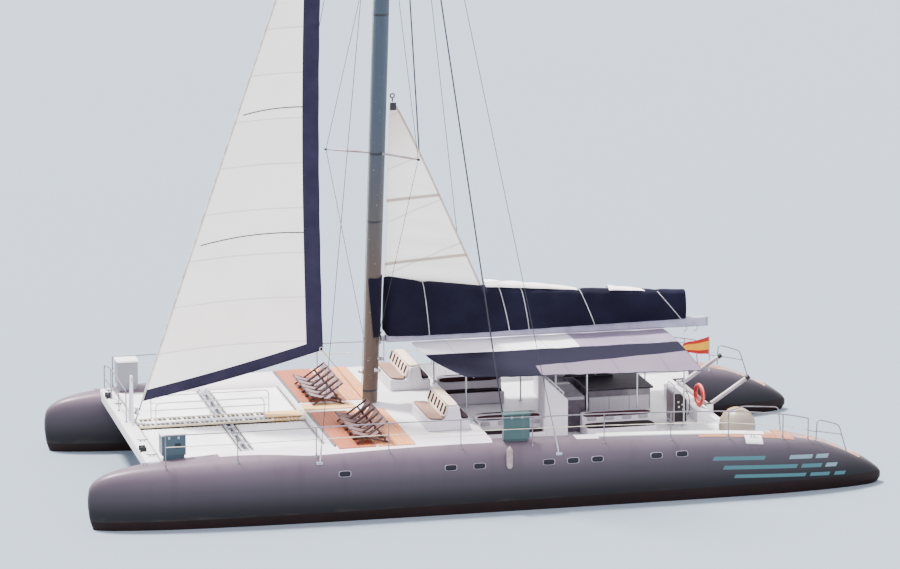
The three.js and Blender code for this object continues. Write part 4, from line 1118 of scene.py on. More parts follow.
class BOAT_OT_hull_fittings(bpy.types.Operator):
    """Portholes, chain plates, cleats, stair treads and the tan strip of deck at each stern"""

    bl_idname = "boat.hull_fittings"
    bl_label = "Hull fittings"

    def execute(self, context):
        colours, sizes = settings(context)
        frame_white = plain("porthole_white", (180, 174, 188), 0.35)
        glass = plain("porthole_glass", (26, 32, 56), 0.25, variety=0.7, Specular_IOR_Level=0.3)
        steel = bare_metal("fitting_steel", STEEL, 0.18)
        tread = plain("stair_tread", (204, 158, 136), 0.85, grain=120)
        boards = wood("stern_boards", (206, 158, 122), (164, 118, 88), plank=0.07)
        white = gelcoat("coaming_white", colours.white)
        for name, side in SIDES:
            rings = (("frames", PORTHOLE_FRAME, frame_white), ("glass", PORTHOLE_PANE, glass))
            for kind, rows, look in rings:
                form = joined(porthole(x, sizes, rows, around=kind == "frames") for x in PORTHOLES_X)
                piece(f"{name}_porthole_{kind}", form.on_side(side), look)
            treads = []
            for aft, fore, floor in STERN_STEPS:
                top, nosing = (HULL_Y - 0.29, HULL_Y + 0.29), (HULL_Y - 0.31, HULL_Y + 0.31)
                treads.append(slab((aft + 0.04, fore - 0.03), top, (floor, floor + 0.008)))
                treads.append(slab((aft - 0.012, aft + 0.03), nosing, (floor - 0.03, floor + 0.012)))
            piece(f"{name}_stair_treads", joined(treads).on_side(side), tread, bevel=0.003)
            strip = deck_skin(-8.05, -5.8, WELL_OUTER_Y - HULL_Y + 0.01, 0.5, 0.012, 0.02)
            after = deck_skin(-8.58, -8.06, -0.5, 0.5, 0.012, 0.02, steps=(8, 14))
            piece(f"{name}_stern_boards", (strip + after).on_side(side), boards)
            coaming = deck_skin(-7.75, -2.9, WELL_OUTER_Y - HULL_Y + 0.005, 0.38, 0.035, 0.05, steps=(40, 4))
            piece(f"{name}_coaming", coaming.on_side(side), white, bevel=0.01)
            plate = deck_skin(-7.62, -7.12, 0.44, 0.68, 0.03, 0.06, steps=(10, 6))
            piece(f"{name}_cleat_plate", plate.on_side(side), white, bevel=0.008)
            cleats = [cleat(x, HULL_Y + out, float(hull_top(x, out)) + lift)
                      for x, out, lift in ((-7.36, 0.52, 0.028), (9.75, 0.0, 0.0))]
            piece(f"{name}_cleats", joined(cleats).on_side(side), steel)
            brackets = []
            for x, foot_z in CHAINPLATES:
                skin = float(hull_side(x, foot_z)) + HULL_Y
                for half, out, low, high in ((0.09, 0.035, -0.05, 0.03), (0.03, 0.02, -0.24, -0.04)):
                    brackets.append(slab((x - half, x + half), (skin - 0.02, skin + out),
                                         (foot_z + low, foot_z + high)))
            piece(f"{name}_chainplates", joined(brackets).on_side(side), steel, bevel=0.006)
        return {"FINISHED"}


# Deck between the hulls

BOARDS_INNER_Y = 0.62
BOARD_STEPS = 40


class BOAT_OT_bridge_deck(bpy.types.Operator):
    """Foredeck, cockpit floor, the tan boards forward of the mast and the pale plank between them"""

    bl_idname = "boat.bridge_deck"
    bl_label = "Bridge deck"

    def execute(self, context):
        colours, sizes = settings(context)
        white = gelcoat("deck_white", colours.white, tread=True)
        dressed("foredeck_moulding", "foredeck", white, slot="white_moulding", bevel=sizes.edge)
        dressed("cockpit_floor", "cockpit_sole", white, slot="white_moulding")
        tan = wood("deck_boards", colours.pad_tan, (178, 108, 74), plank=0.12, along="Y", coat=0.0)
        pale = wood("deck_boards_pale", (228, 174, 130), (208, 150, 106), plank=0.12, along="Y", coat=0.0)
        plank = wood("pale_plank", (236, 206, 158), (216, 180, 128), plank=0.3, coat=0.0)
        grey = painted("lacing_rail_grey", (112, 112, 120), (140, 138, 142))
        for name, side in SIDES:
            for suffix, x, look in (("", (3.37, 4.42), tan), ("_aft", (2.27, 3.32), pale)):
                board = board_form(x, (BOARDS_INNER_Y, HULL_Y + 0.33))
                piece(f"{name}_deck_boards{suffix}", board.on_side(side), look, bevel=0.005)
            rail = board_form((4.45, 4.52), (BOARDS_INNER_Y, HULL_Y + 0.1), lift=0.045)
            piece(f"{name}_lacing_rail", rail.on_side(side), grey, bevel=0.01)
        planks = slab((3.0, 4.5), (-0.34, 0.34), (DECK_Z + 0.002, DECK_Z + 0.03))
        planks += slab((4.56, 5.6), (-0.3, 0.3), (SPINE_TOP_Z + 0.002, SPINE_TOP_Z + 0.03))
        piece("pale_plank", planks, plank, bevel=0.006)
        return {"FINISHED"}


def board_form(x, y, lift=0.022):
    """A board across the deck that follows it over the hull's top: two edges along y, closed below."""
    ends, across = np.meshgrid(x, np.linspace(y[0], y[1], BOARD_STEPS), indexing="ij")
    out = across - HULL_Y
    height = np.where(out > -0.3, hull_top(ends, out), DECK_Z)
    height = np.maximum(np.minimum(height, DECK_Z), DECK_Z - 0.4)
    upper = np.stack([ends, across, height + lift], -1)
    lower = upper - [0, 0, lift + 0.004]
    return loft(np.concatenate([upper, lower[:, ::-1]], 1))


# Columns: name, x aft, x forward of each pair of nets.
NETS = [("fore", 6.9, 9.28), ("aft", 4.52, 6.6)]


def net_edge(x):
    """Where a net meets the hull's inner side."""
    return HULL_Y - hull_side(x, NET_Z - 0.01)


class BOAT_OT_nets(bpy.types.Operator):
    """Four nets with their edge ropes and lacing"""

    bl_idname = "boat.nets"
    bl_label = "Nets"

    def execute(self, context):
        mesh = mesh_net("net_white", (244, 244, 246))
        edge_rope = rope("net_edge_rope", (236, 232, 224), (170, 160, 140))
        lace = plain("net_lace", (72, 70, 74), 0.8)
        for place, aft, fore in NETS:
            for name, side in SIDES:
                x = np.linspace(aft + 0.05, fore - 0.05, 40)[:, None]
                share = np.linspace(0, 1, 40)[None, :]
                inner = SPINE_HALF + 0.09
                y = inner + (net_edge(x) - 0.05 - inner) * share
                run = (x - x[0]) / (x[-1] - x[0])
                sag = 0.05 * np.sin(math.pi * run) * np.sin(math.pi * share)
                grid = np.stack([np.broadcast_to(x, y.shape), y, NET_Z - 0.004 - sag], -1)
                flat = np.stack([x - x[0] + 0 * y, y], -1)
                canvas(f"net_{place}_{name}", grid, flat, mesh, "stretched", ["walkway"], side, 0.004,
                       stands_for=[f"trampoline_{place}_{name}"], slot="net")
                border = np.vstack([grid[:, 0], grid[-1, 1:], grid[-2::-1, -1], grid[0, -2:0:-1]])
                piece(f"net_rope_{place}_{name}", tube(border, 0.011, 6, wrap=True).on_side(side), edge_rope)
                piece(f"net_lacing_{place}_{name}", lacing(border, 0.13).on_side(side), lace)
        return {"FINISHED"}


def lacing(border, pitch):
    """Short ties that cross a border at a pitch, each out from its middle and with a lean along it."""
    closed = np.vstack([border, border[:1]])
    steps = np.linalg.norm(np.diff(closed, axis=0), axis=1)
    reach = np.concatenate([[0], np.cumsum(steps)])
    at = np.arange(pitch / 2, reach[-1], pitch)
    knots, after = (np.stack([np.interp(where, reach, closed[:, k]) for k in range(3)], -1)
                    for where in (at, at + 0.01))
    along = after - knots
    along /= np.linalg.norm(along, axis=1, keepdims=True)
    out = np.cross(along, [0, 0, 1])
    middle = border.mean(0)
    out *= np.sign(np.einsum("ij,ij->i", out, knots - middle))[:, None]
    starts, stops = knots - out * 0.03 + [0, 0, 0.006], knots + out * 0.06 + [0, 0, 0.002]
    lean = along * 0.02
    return joined([rod(a - c, b + c, 0.008, sides=5) for a, b, c in zip(starts, stops, lean)])


# Beams, walkway and lockers

ROLLERS_Y = (-3.2, 3.2)
MIDDLE_RAILS_X = (6.6, 6.805)


class BOAT_OT_beams(bpy.types.Operator):
    """Front beam with its striker, and the twin rails of the middle beam"""

    bl_idname = "boat.beams"
    bl_label = "Beams"

    def execute(self, context):
        colours, _ = settings(context)
        white = gelcoat("beam_white", colours.white, shade=0.94)
        dark = plain("beam_fittings_dark", (58, 60, 66), 0.45, metal=0.4)
        grey = painted("beam_grey", (196, 198, 204), (170, 172, 178), 0.5)
        steel = bare_metal("beam_steel", STEEL, 0.2)
        beam = slab((9.28, 9.7), (-4.4, 4.4), (1.43, 1.8))
        piece("front_beam_body", beam, white, stands_for=["front_beam"], slot="white_moulding", bevel=0.07)
        legs = [rod((9.435, side * 0.33, 1.74), (9.415, side * 0.01, 3.15), 0.038, sides=16)
                for _, side in SIDES]
        legs.append(rod((9.415, -0.06, 3.14), (9.415, 0.06, 3.14), 0.033, sides=16))
        piece("striker_legs", joined(legs), white, bevel=0.004)
        piece("striker_plate", slab((9.395, 9.435), (-0.085, 0.085), (1.78, 3.11)), grey, bevel=0.01)
        foot = [slab((9.29, 9.39), (-0.05, 0.05), (1.79, 1.84)),
                rod((9.33, -0.06, 1.86), (9.33, 0.06, 1.86), 0.03)]
        piece("forestay_foot", joined(foot), steel, bevel=0.004)
        cleats = [cleat(9.46, y, 1.79, 0.3) for y in (-3.9, -2.2, 2.2, 3.9)]
        rollers = [rod((9.62, y - 0.1, 1.85), (9.62, y + 0.1, 1.85), 0.055, sides=20) for y in ROLLERS_Y]
        cheeks = [slab((9.52, 9.7), (y + k * 0.12 - 0.01, y + k * 0.12 + 0.01), (1.78, 1.92))
                  for y in ROLLERS_Y for k in (-1, 1)]
        piece("front_beam_fittings", joined([*cleats, *rollers, *cheeks]), dark)
        rails = [slab((x, x + 0.095), (-4.2, 4.2), (1.56, 1.73)) for x in MIDDLE_RAILS_X]
        piece("middle_beam_rails", joined(rails), grey, stands_for=["middle_beam"], slot="alloy", bevel=0.03)
        plates = [slab((6.65, 6.85), (y - 0.07, y + 0.07), (1.6, 1.7))
                  for y in (-3.4, -2.5, -1.6, -0.7, 0.7, 1.6, 2.5, 3.4)]
        piece("middle_beam_plates", joined(plates), grey, bevel=0.012)
        slots = [slab((x + 0.035, x + 0.06), (y - 0.2, y + 0.2), (1.728, 1.736))
                 for x in MIDDLE_RAILS_X for y in np.arange(-3.85, 3.9, 0.7)]
        piece("middle_beam_slots", joined(slots), dark)
        return {"FINISHED"}


# Columns: side, x of the aft foot and of the forward foot of the walkway's guard rails.
WALK_GUARDS = [(1, 5.7, 8.8), (-1, 5.4, 8.8)]
# Columns: first x, end x, pitch, half width, bottom and top z of the broad and of the thin rungs.
WALK_RUNGS = [(4.58, 9.25, 0.42, 0.04, (1.745, 1.783)), (4.72, 9.2, 0.14, 0.014, (1.75, 1.775))]
WASHER = [(0.0, 0.0), (0.04, 0.0), (0.035, 0.012), (0.0, 0.014)]
LASHING_TURNS = 7


class BOAT_OT_walkway(bpy.types.Operator):
    """The walkway to the front beam: yellowed side rails, white rungs, guard rails and their lashing"""

    bl_idname = "boat.walkway"
    bl_label = "Walkway"

    def execute(self, context):
        colours, _ = settings(context)
        side_wood = wood("walkway_side", (234, 224, 204), (214, 200, 172), coat=0.1)
        white = gelcoat("walkway_white", colours.white)
        dark = plain("walkway_under", (70, 78, 88), 0.8)
        steel = bare_metal("walkway_steel", (224, 226, 228), 0.22)
        yellow = rope("lashing_yellow", (206, 170, 84), (128, 98, 63))
        ends = (4.53, 9.27)
        sides = [slab(ends, (y - 0.045, y + 0.045), (1.733, 1.79)) for y in (-SPINE_HALF, SPINE_HALF)]
        piece("walkway_sides", joined(sides), side_wood, stands_for=["walkway"], slot="white_moulding",
              bevel=0.012)
        rungs = [slab((x - half, x + half), (-0.41, 0.41), z)
                 for start, stop, pitch, half, z in WALK_RUNGS for x in np.arange(start, stop, pitch)]
        piece("walkway_rungs", joined(rungs), white, bevel=0.006)
        piece("walkway_keelson", slab(ends, (-0.11, 0.11), (1.735, 1.785)), white, bevel=0.01)
        piece("walkway_tray", slab(ends, (-0.42, 0.42), (1.722, 1.732)), dark)
        guards, clamps = [], []
        for side, aft, fore in WALK_GUARDS:
            y = side * SPINE_HALF
            hoop = bent([(aft, y, 1.77), (aft, y, 2.43), (fore, y, 2.43), (fore, y, 1.77)], 0.16, 8)
            guards.append(tube(hoop, 0.017, 12))
            guards += [tube([(aft, y, z), (fore, y, z)], 0.012, 10) for z in (2.01, 2.22)]
            middle = (aft + fore) / 2
            guards.append(rod((middle, y, 1.77), (middle, y, 2.42), 0.015))
            clamps += [lathe(WASHER, (x, y, 1.79)) for x in (aft, middle, fore)]
        piece("walkway_guards", joined(guards), steel, crease=60)
        piece("walkway_guard_feet", joined(clamps), steel)
        angle = round_angles(16)
        ring = np.stack([4.72 + 0.04 * np.sin(angle * 2), SPINE_HALF + 0.068 * np.cos(angle),
                         1.762 + 0.046 * np.sin(angle)], -1)
        turns = [tube(ring + [k * 0.11, 0, 0], 0.012, 8, wrap=True) for k in range(LASHING_TURNS)]
        piece("walkway_lashing", joined(turns), yellow)
        return {"FINISHED"}


# Columns: name, then low and high x, y and z of each locker.
LOCKERS = [
    ("port_bow_locker", (8.58, 9.24), (3.72, 4.27), (1.88, 2.43)),
    ("starboard_bow_locker", (8.6, 9.2), (-4.68, -4.13), (1.88, 2.58)),
    ("rail_locker", (-0.92, -0.18), (4.76, 4.99), (1.96, 2.64)),
]
LID_LAP = 0.025
LID_GAP = 0.0005
LID_RISE = 0.06


class BOAT_OT_lockers(bpy.types.Operator):
    """Three deck lockers and their hinged lids"""

    bl_idname = "boat.lockers"
    bl_label = "Lockers"

    def execute(self, context):
        colours, _ = settings(context)
        white = gelcoat("lid_white", colours.white)
        steel = bare_metal("hinge_steel", (200, 202, 206), 0.25)
        dark = plain("locker_vent", (48, 56, 62), 0.6)
        skins = {
            "port_bow_locker": gelcoat("locker_teal", colours.teal, rough=0.4),
            "starboard_bow_locker": gelcoat("locker_grey", (146, 150, 158), rough=0.4),
            "rail_locker": gelcoat("locker_rail_teal", (82, 112, 113), rough=0.4),
        }
        for name, x, y, z in LOCKERS:
            dressed(f"{name}_body", name, skins[name], slot="locker_teal", bevel=0.018)
            lid = slab((x[0] - LID_LAP, x[1] + LID_LAP), (y[0] - LID_LAP, y[1] + LID_LAP),
                       (z[1] + LID_GAP, z[1] + LID_RISE))
            lid_look = white if "bow" in name else skins[name]
            piece(f"{name}_cover", lid, lid_look, f"{name}_lid", [f"{name}_lid"], "white_moulding",
                  bevel=0.02)
            span = x[1] - x[0]
            inner = y[0] if "rail" in name or "port" in name else y[1]
            outer = y[1] if inner == y[0] else y[0]
            lean = math.copysign(1, outer - inner)
            latch = [slab((x[0] + span * k - 0.03, x[0] + span * k + 0.03),
                          sorted((outer, outer + lean * 0.014)), (z[1] - 0.09, z[1] - 0.02))
                     for k in (0.3, 0.7)]
            piece(f"{name}_latches", joined(latch), steel, bevel=0.003)
            if "bow" in name:
                vent = slab((x[0] + 0.14, x[0] + 0.3), sorted((outer, outer + lean * 0.006)),
                            (z[0] + 0.2, z[0] + 0.34))
                piece(f"{name}_vent", vent, dark, bevel=0.003)
        return {"FINISHED"}


# Guard rails

# Columns: x, y, top z of each stanchion.
STANCHIONS = [
    (9.24, 4.86, 2.60), (7.27, 4.96, 2.61), (5.10, 5.02, 2.63), (3.08, 5.04, 2.64), (1.05, 5.04, 2.62),
    (-0.98, 5.04, 2.59), (-3.03, 5.04, 2.56), (-4.96, 5.02, 2.50), (-6.64, 5.0, 2.42), (-8.25, 4.95, 2.23),
    (-9.02, 4.86, 2.05),
]
# Columns: x, y, z along the hoops that end the rail.
STERN_HOOP = [(-9.26, 4.84, 1.3), (-9.29, 4.84, 2.0), (-9.95, 4.79, 1.8), (-10.23, 4.73, 0.9)]
INNER_HOOP = [(-6.64, 5.0, 2.42), (-7.3, 4.25, 2.35), (-8.37, 4.13, 2.24), (-8.45, 4.13, 1.4)]
# Columns: radius, height of a foot's profile.
STANCHION_FOOT = [(0.0, -0.03), (0.05, -0.03), (0.046, 0.016), (0.024, 0.022), (0.024, 0.09), (0.0, 0.09)]
PULPIT_FOOT = [(0.0, 0.0), (0.045, 0.0), (0.04, 0.014), (0.0, 0.016)]
PULPIT_X = 9.56
# Columns: y, z along the pulpit's hoop and its middle bar.
PULPIT_HOOP = [(-4.34, 1.78), (-4.34, 2.5), (-3.0, 2.7), (-0.11, 2.7)]
PULPIT_BAR = [(-4.34, 2.1), (-0.11, 2.25)]
PULPIT_POSTS_Y = (-4.34, -3.0, -1.5, -0.11)


class BOAT_OT_rails(bpy.types.Operator):
    """Guard rails along both gunwales and the bow pulpit"""

    bl_idname = "boat.rails"
    bl_label = "Guard rails"

    def execute(self, context):
        _, sizes = settings(context)
        steel = bare_metal("rail_steel", (168, 164, 172), 0.34)
        line = plain("rail_line", (232, 226, 214), 0.7)
        for name, side in SIDES:
            tops = np.array(STANCHIONS)
            posts, feet = [], []
            for x, y, top in STANCHIONS:
                floor = float(hull_top(x, y - HULL_Y))
                posts.append(rod((x, y, floor - 0.15), (x, y, top), 0.0155, sides=12))
                feet.append(lathe(STANCHION_FOOT, (x, y, floor - 0.012)))
            piece(f"{name}_stanchions", joined(posts).on_side(side), steel, stands_for=[f"{name}_rail"],
                  slot="steel", crease=60)
            piece(f"{name}_stanchion_feet", joined(feet).on_side(side), steel)
            top_line = tube(smooth_rows(tops, 4), sizes.rail, 10)
            hoops = [tube(bent(path, 0.14, 7), 0.016, 12) for path in (STERN_HOOP, INNER_HOOP)]
            link = rod((-9.02, 4.86, 1.7), (-9.27, 4.84, 1.64), 0.013)
            middle_bar = rod((-9.27, 4.84, 1.66), (-10.06, 4.768, 1.5), 0.013)
            bars = joined([top_line, *hoops, link, middle_bar])
            piece(f"{name}_top_rail", bars.on_side(side), steel, crease=60)
            middles = tops - [0, 0, 0.33]
            piece(f"{name}_guard_line", tube(middles, sizes.wire, 8).on_side(side), line)
        bars = [tube([(PULPIT_X, *place) for place in path], 0.017, 12)
                for path in (bent(PULPIT_HOOP, 0.2, 8), PULPIT_BAR)]
        bars += [rod((PULPIT_X, y, 1.78), (PULPIT_X, y, 2.69), 0.017, sides=12) for y in PULPIT_POSTS_Y[1:]]
        piece("pulpit_bars", joined(bars), steel, stands_for=["bow_pulpit"], slot="steel", crease=60)
        feet = [lathe(PULPIT_FOOT, (PULPIT_X, y, 1.8)) for y in PULPIT_POSTS_Y]
        piece("pulpit_feet", joined(feet), steel)
        return {"FINISHED"}


# Cockpit

HATCH_FRONT_X = {"port": -1.8803, "starboard": -3.01}
BENCH_OVALS_X = (-0.23, -0.74, -1.24, -1.68)
AFT_BENCH_OVALS_X = {"port": (-3.38, -3.9, -4.41, -4.9), "starboard": (-3.95, -4.42, -4.89)}
# Columns: x, z round the helm console's side.
HELM_SIDE = [(-6.33, 1.4), (-5.97, 1.4), (-5.97, 2.225), (-6.14, 2.225), (-6.33, 2.035)]
HELM_GUARD = [(-5.97, 1.15, 2.24), (-5.99, 1.15, 2.44), (-5.99, 1.85, 2.44), (-5.97, 1.85, 2.24)]
GAUGE = [(0.0, 0.0), (0.028, 0.0), (0.028, 0.006), (0.0, 0.006)]
# Columns: x, z of each gauge.
GAUGES_AT = [(-6.2, 1.9), (-6.08, 1.98), (-6.1, 1.84), (-6.22, 1.76)]


class BOAT_OT_furniture(bpy.types.Operator):
    """Shells of the lounges, benches, companionways, bar and helm console, with their fittings"""

    bl_idname = "boat.furniture"
    bl_label = "Furniture"

    def execute(self, context):
        white = gelcoat("furniture_white", (216, 212, 219))
        counter = plain("counter_grey", (146, 140, 148), 0.3, variety=0.9, Coat_Weight=0.4)
        dark = plain("cockpit_dark_and_shade", (52, 48, 54), 0.5)
        grey = gelcoat("furniture_grey", (164, 161, 170))
        steel = bare_metal("furniture_steel", STEEL, 0.2)
        glass = plain("screen_glass", (22, 28, 38), 0.08, Coat_Weight=1.0)
        for name, side in SIDES:
            for kind in ("lounge", "cockpit_bench", "companionway", "aft_bench"):
                dressed(f"{kind}_shell_{name}", f"{kind}_{name}", white, slot="white_moulding", bevel=0.035)
            front = HATCH_FRONT_X[name]
            grabs = []
            for y in (2.3, 2.72):
                low, high = np.array((front - 0.56, y, 2.595)), np.array((front - 0.12, y, 3.015))
                lift = np.array((-0.045, 0, 0.048))
                grabs.append(tube(bent([low, low + lift, high + lift, high], 0.05, 4), 0.018, 8))
            piece(f"companionway_grabs_{name}", joined(grabs).on_side(side), white)
            for kind, ovals_x, tip, y, z in (("bench", BENCH_OVALS_X, 9.6, 2.568, 1.83),
                                             ("aft_bench", AFT_BENCH_OVALS_X[name], 20.9, 2.405, 1.762)):
                ovals = [cushion((x - 0.14, x + 0.14), (-0.012, 0.012), (-0.065, 0.065)) for x in ovals_x]
                ovals = joined(ovals).turned(spin("X", tip)).moved(y=y, z=z)
                piece(f"{kind}_ovals_{name}", ovals.on_side(side), grey)
            arms = [slab((x - 0.025, x + 0.025), (2.3, 2.99), (1.6, 1.98)) for x in (0.035, -1.855)]
            piece(f"bench_arms_{name}", joined(arms).on_side(side), white, bevel=0.02)
        dressed("bar_counter_body", "bar", grey, slot="counter_grey", bevel=0.02)
        # The counter's top, its front edges and a thin panel behind it are near black: painted shade under
        # the canopy.
        fascia = slab((-5.57, -3.59), (1.081, 1.086), (2.235, 2.295))
        tops = [slab((-5.55, -3.61), (-1.07, 1.07), (2.3, 2.304)),
                slab((-4.79, -3.3), (-0.5, -0.494), (2.31, 2.51)), fascia, fascia.mirrored()]
        piece("bar_painted_shade_faces", joined(tops), dark, bevel=0.002)
        cabinet = plain("side_cabinet_dark", (112, 102, 114), 0.6)
        piece("side_cabinet_face", slab((-3.27, -2.75), (1.99, 1.996), (1.32, 2.24)), cabinet, bevel=0.002)
        bands = [slab((-5.49, -3.66), (1.0, 1.006), (2.05, 2.22)),
                 slab((-3.28, -2.74), (-0.88, 1.99), (2.331, 2.337))]
        piece("bar_counter_band", joined([*bands, bands[0].mirrored()]), counter, bevel=0.002)
        doors = [slab((x, x + 0.58), (0.999, 1.006), (1.36, 2.03)) for x in (-5.46, -4.86, -4.26)]
        piece("bar_doors", joined([*doors, *(door.mirrored() for door in doors)]), white, bevel=0.003)
        dressed("helm_console_body", "helm_console", white, slot="white_moulding", bevel=0.03)
        panel = slab((-0.13, 0.13), (1.16, 1.84), (-0.004, 0.006))
        screens = joined(slab((-0.09, 0.09), (y, y + 0.26), (0.004, 0.014)) for y in (1.2, 1.53))
        for name, form, look in (("helm_panel", panel, dark), ("helm_screens", screens, glass)):
            piece(name, form.turned(spin("Y", -45)).moved(x=-6.25, z=2.15), look, bevel=0.002)
        # Dark panels on both sides of the helm console and a warm grey one on its front: painted shade on the
        # white console's faces.
        cheeks = [prism(HELM_SIDE, 1, y, y + 0.006) for y in (1.896, 1.098)]
        piece("helm_side_panels", joined(cheeks), plain("helm_side_shade", (62, 50, 52), 0.6), bevel=0.002)
        gauges = [lathe(GAUGE, (x, 1.902, z), (0, 1, 0), 16) for x, z in GAUGES_AT]
        piece("helm_gauges", joined(gauges), steel)
        piece("helm_front_panel", slab((-5.953, -5.947), (1.13, 1.87), (1.4, 2.2)),
              gelcoat("helm_front_shade", (158, 142, 144)), bevel=0.002)
        piece("helm_guard", tube(bent(HELM_GUARD, 0.08), 0.014), steel)
        return {"FINISHED"}


# Rows: name, x, y, z, cloth, tip in degrees, place it is tipped about, crown.
LOUNGE_CUSHIONS = [
    ("lounge_seat", (1.18, 1.62), (1.43, 3.57), (2.27, 2.33), "tan", -4.9, (1.17, 0, 2.27), 0.1),
    ("lounge_back", (1.17, 1.24), (1.43, 3.57), (2.29, 2.66), "beige", -19, (1.17, 0, 2.27), 0.05),
    ("lounge_top", (0.78, 1.07), (1.43, 3.57), (2.64, 2.71), "beige", 0.0, (0, 0, 0), 0.1),
    ("lounge_aft", (0.46, 0.68), (1.45, 3.55), (2.265, 2.33), "dark", 0.0, (0, 0, 0), 0.1),
    ("lounge_aft_back", (0.64, 0.7), (1.45, 3.55), (2.3, 2.62), "dark", 10, (0.69, 0, 2.27), 0.05),
]
# Rows: name, what gives its x, y, z, cloth, crown.
BENCH_CUSHIONS = [
    ("bench_seat", "bench", (2.6, 2.97), (1.59, 1.68), "dark", 0.1),
    ("bench_back", "bench", (2.5, 2.59), (1.93, 2.07), "brown", 0.05),
    ("aft_bench_seat", "aft_bench", (2.47, 2.97), (1.59, 1.68), "dark", 0.1),
    ("aft_bench_back", "aft_bench", (2.31, 2.4), (1.8, 1.94), "brown", 0.05),
    ("bench_inner_seat", "bench", (1.87, 2.2), (1.645, 1.72), "dark", 0.1),
    ("bench_inner_back", "bench", (2.19, 2.27), (1.93, 2.07), "brown", 0.05),
]

class BOAT_OT_cushions(bpy.types.Operator):
    """Seat and back cushions of the lounges and benches"""

    bl_idname = "boat.cushions"
    bl_label = "Cushions"

    def execute(self, context):
        looks = {
            "beige": cloth("cushion_beige", (240, 226, 212), (226, 208, 192), fold=0.02),
            "tan": cloth("cushion_tan", (176, 152, 140), (158, 134, 124), fold=0.02),
            "brown": cloth("cushion_brown", (92, 68, 70), (76, 56, 60), fold=0.02),
            "dark": cloth("cushion_dark", (74, 62, 66), (60, 50, 56), fold=0.02),
        }
        for name, side in SIDES:
            spans = {"bench": (-1.82, 0.0), "aft_bench": (-5.12, -3.13 if side > 0 else -3.73)}
            rows = LOUNGE_CUSHIONS + [(kind, spans[span], y, z, look, 0.0, (0, 0, 0), crown)
                                      for kind, span, y, z, look, crown in BENCH_CUSHIONS]
            for kind, x, y, z, look, tip, about, crown in rows:
                form = cushion(x, y, z, crown).turned(spin("Y", tip), about)
                piece(f"{kind}_{name}", form.on_side(side), looks[look], crease=180)
            tabs = [slab((1.2, 1.215), (y, y + 0.13), (2.42, 2.67)) for y in np.arange(1.55, 3.5, 0.38)]
            tabs = joined(tabs).turned(spin("Y", -19), (1.17, 0, 2.27)).moved(x=0.045)
            piece(f"lounge_tabs_{name}", tabs.on_side(side), looks["brown"], bevel=0.003)
        return {"FINISHED"}


# Canopy

CANOPY_POSTS_X = (0.2, -2.41, -3.33, -4.81, -6.2)
CANOPY_POST_Y = 2.05
CANOPY_BACK_X = -6.3
CANOPY_FOOT = [(0.0, 0.0), (0.07, 0.0), (0.062, 0.016), (0.032, 0.02), (0.032, 0.07), (0.0, 0.07)]
CANOPY_RAIL_Z = 3.29
ROOF_HALF = 1.02
ROOF_FRONT_X, ROOF_BOW = 1.25, 0.12
ROOF_Z, ROOF_CROWN = 3.61, 0.05
ROOF_STEPS = (130, 30)
# A wing's front and back sweep aft on the way out. Its edge is lower than its shoulder, and falls aft.
WING_FRONT_X, WING_SWEEP, WING_BACK_SWEEP = 1.125, 0.75, 0.15
WING_Y, WING_WIDTH = 1.0205, 2.03
SHOULDER_Z, WING_EDGE_Z, WING_EDGE_FALL = 3.55, 3.33, 0.17
WING_STEPS = (130, 40)


def floor_under(x):
    """Height of the deck or, aft of its edge, of the cockpit floor."""
    return DECK_Z if x > WELL_X[1] else SOLE_Z


def canopy_sag(x, depth):
    """How far the cloth hangs between two hoops: a squared half wave over each bay."""
    order = np.array(CANOPY_POSTS_X[::-1])
    bay = np.interp(x, order, np.arange(len(order)))
    return depth * np.sin(math.pi * bay) ** 2


def canopy_top_grid():
    """The roof: x from its bowed front edge to its back, crowned by the square of y, with small puckers."""
    u, v = unit_grid(*ROOF_STEPS)
    y = ROOF_HALF * (2 * v - 1)
    front = ROOF_FRONT_X - ROOF_BOW * (y / ROOF_HALF) ** 2
    x = front + u * (CANOPY_BACK_X - front)
    z = ROOF_Z - ROOF_CROWN * (y / ROOF_HALF) ** 2 - canopy_sag(x, 0.018) * (1 - v * (1 - v))
    z += 0.004 * np.sin(x * 21 + np.sin(y * 5) * 1.5) * np.abs(2 * v - 1) ** 2
    return np.stack([x, y, z], -1), np.stack([x, y], -1)


def wing_front(v):
    """Where a wing starts, v of the way out: further aft by its sweep times v to the power 1.6."""
    return WING_FRONT_X - WING_SWEEP * v ** 1.6


def wing_height(x, v):
    """Height of a wing without its sag: it falls by v to the power 1.2 from the shoulder to the edge."""
    front = wing_front(v)
    edge = WING_EDGE_Z - WING_EDGE_FALL * (front - x) / (front - CANOPY_BACK_X + WING_BACK_SWEEP * v)
    return SHOULDER_Z - (SHOULDER_Z - edge) * v ** 1.2


def canopy_wing_grid():
    """A wing: x from its front to its back, y from its shoulder out, with a sag in each bay."""
    u, v = unit_grid(*WING_STEPS)
    y = WING_Y + v * WING_WIDTH
    front = wing_front(v)
    x = front + u * (CANOPY_BACK_X - WING_BACK_SWEEP * v - front)
    z = wing_height(x, v) - canopy_sag(x, 0.016) * (0.4 + 0.6 * v)
    z += 0.004 * np.sin(x * 13 + v * 4) * v ** 2
    return np.stack([x, y, z], -1), np.stack([x, y], -1)


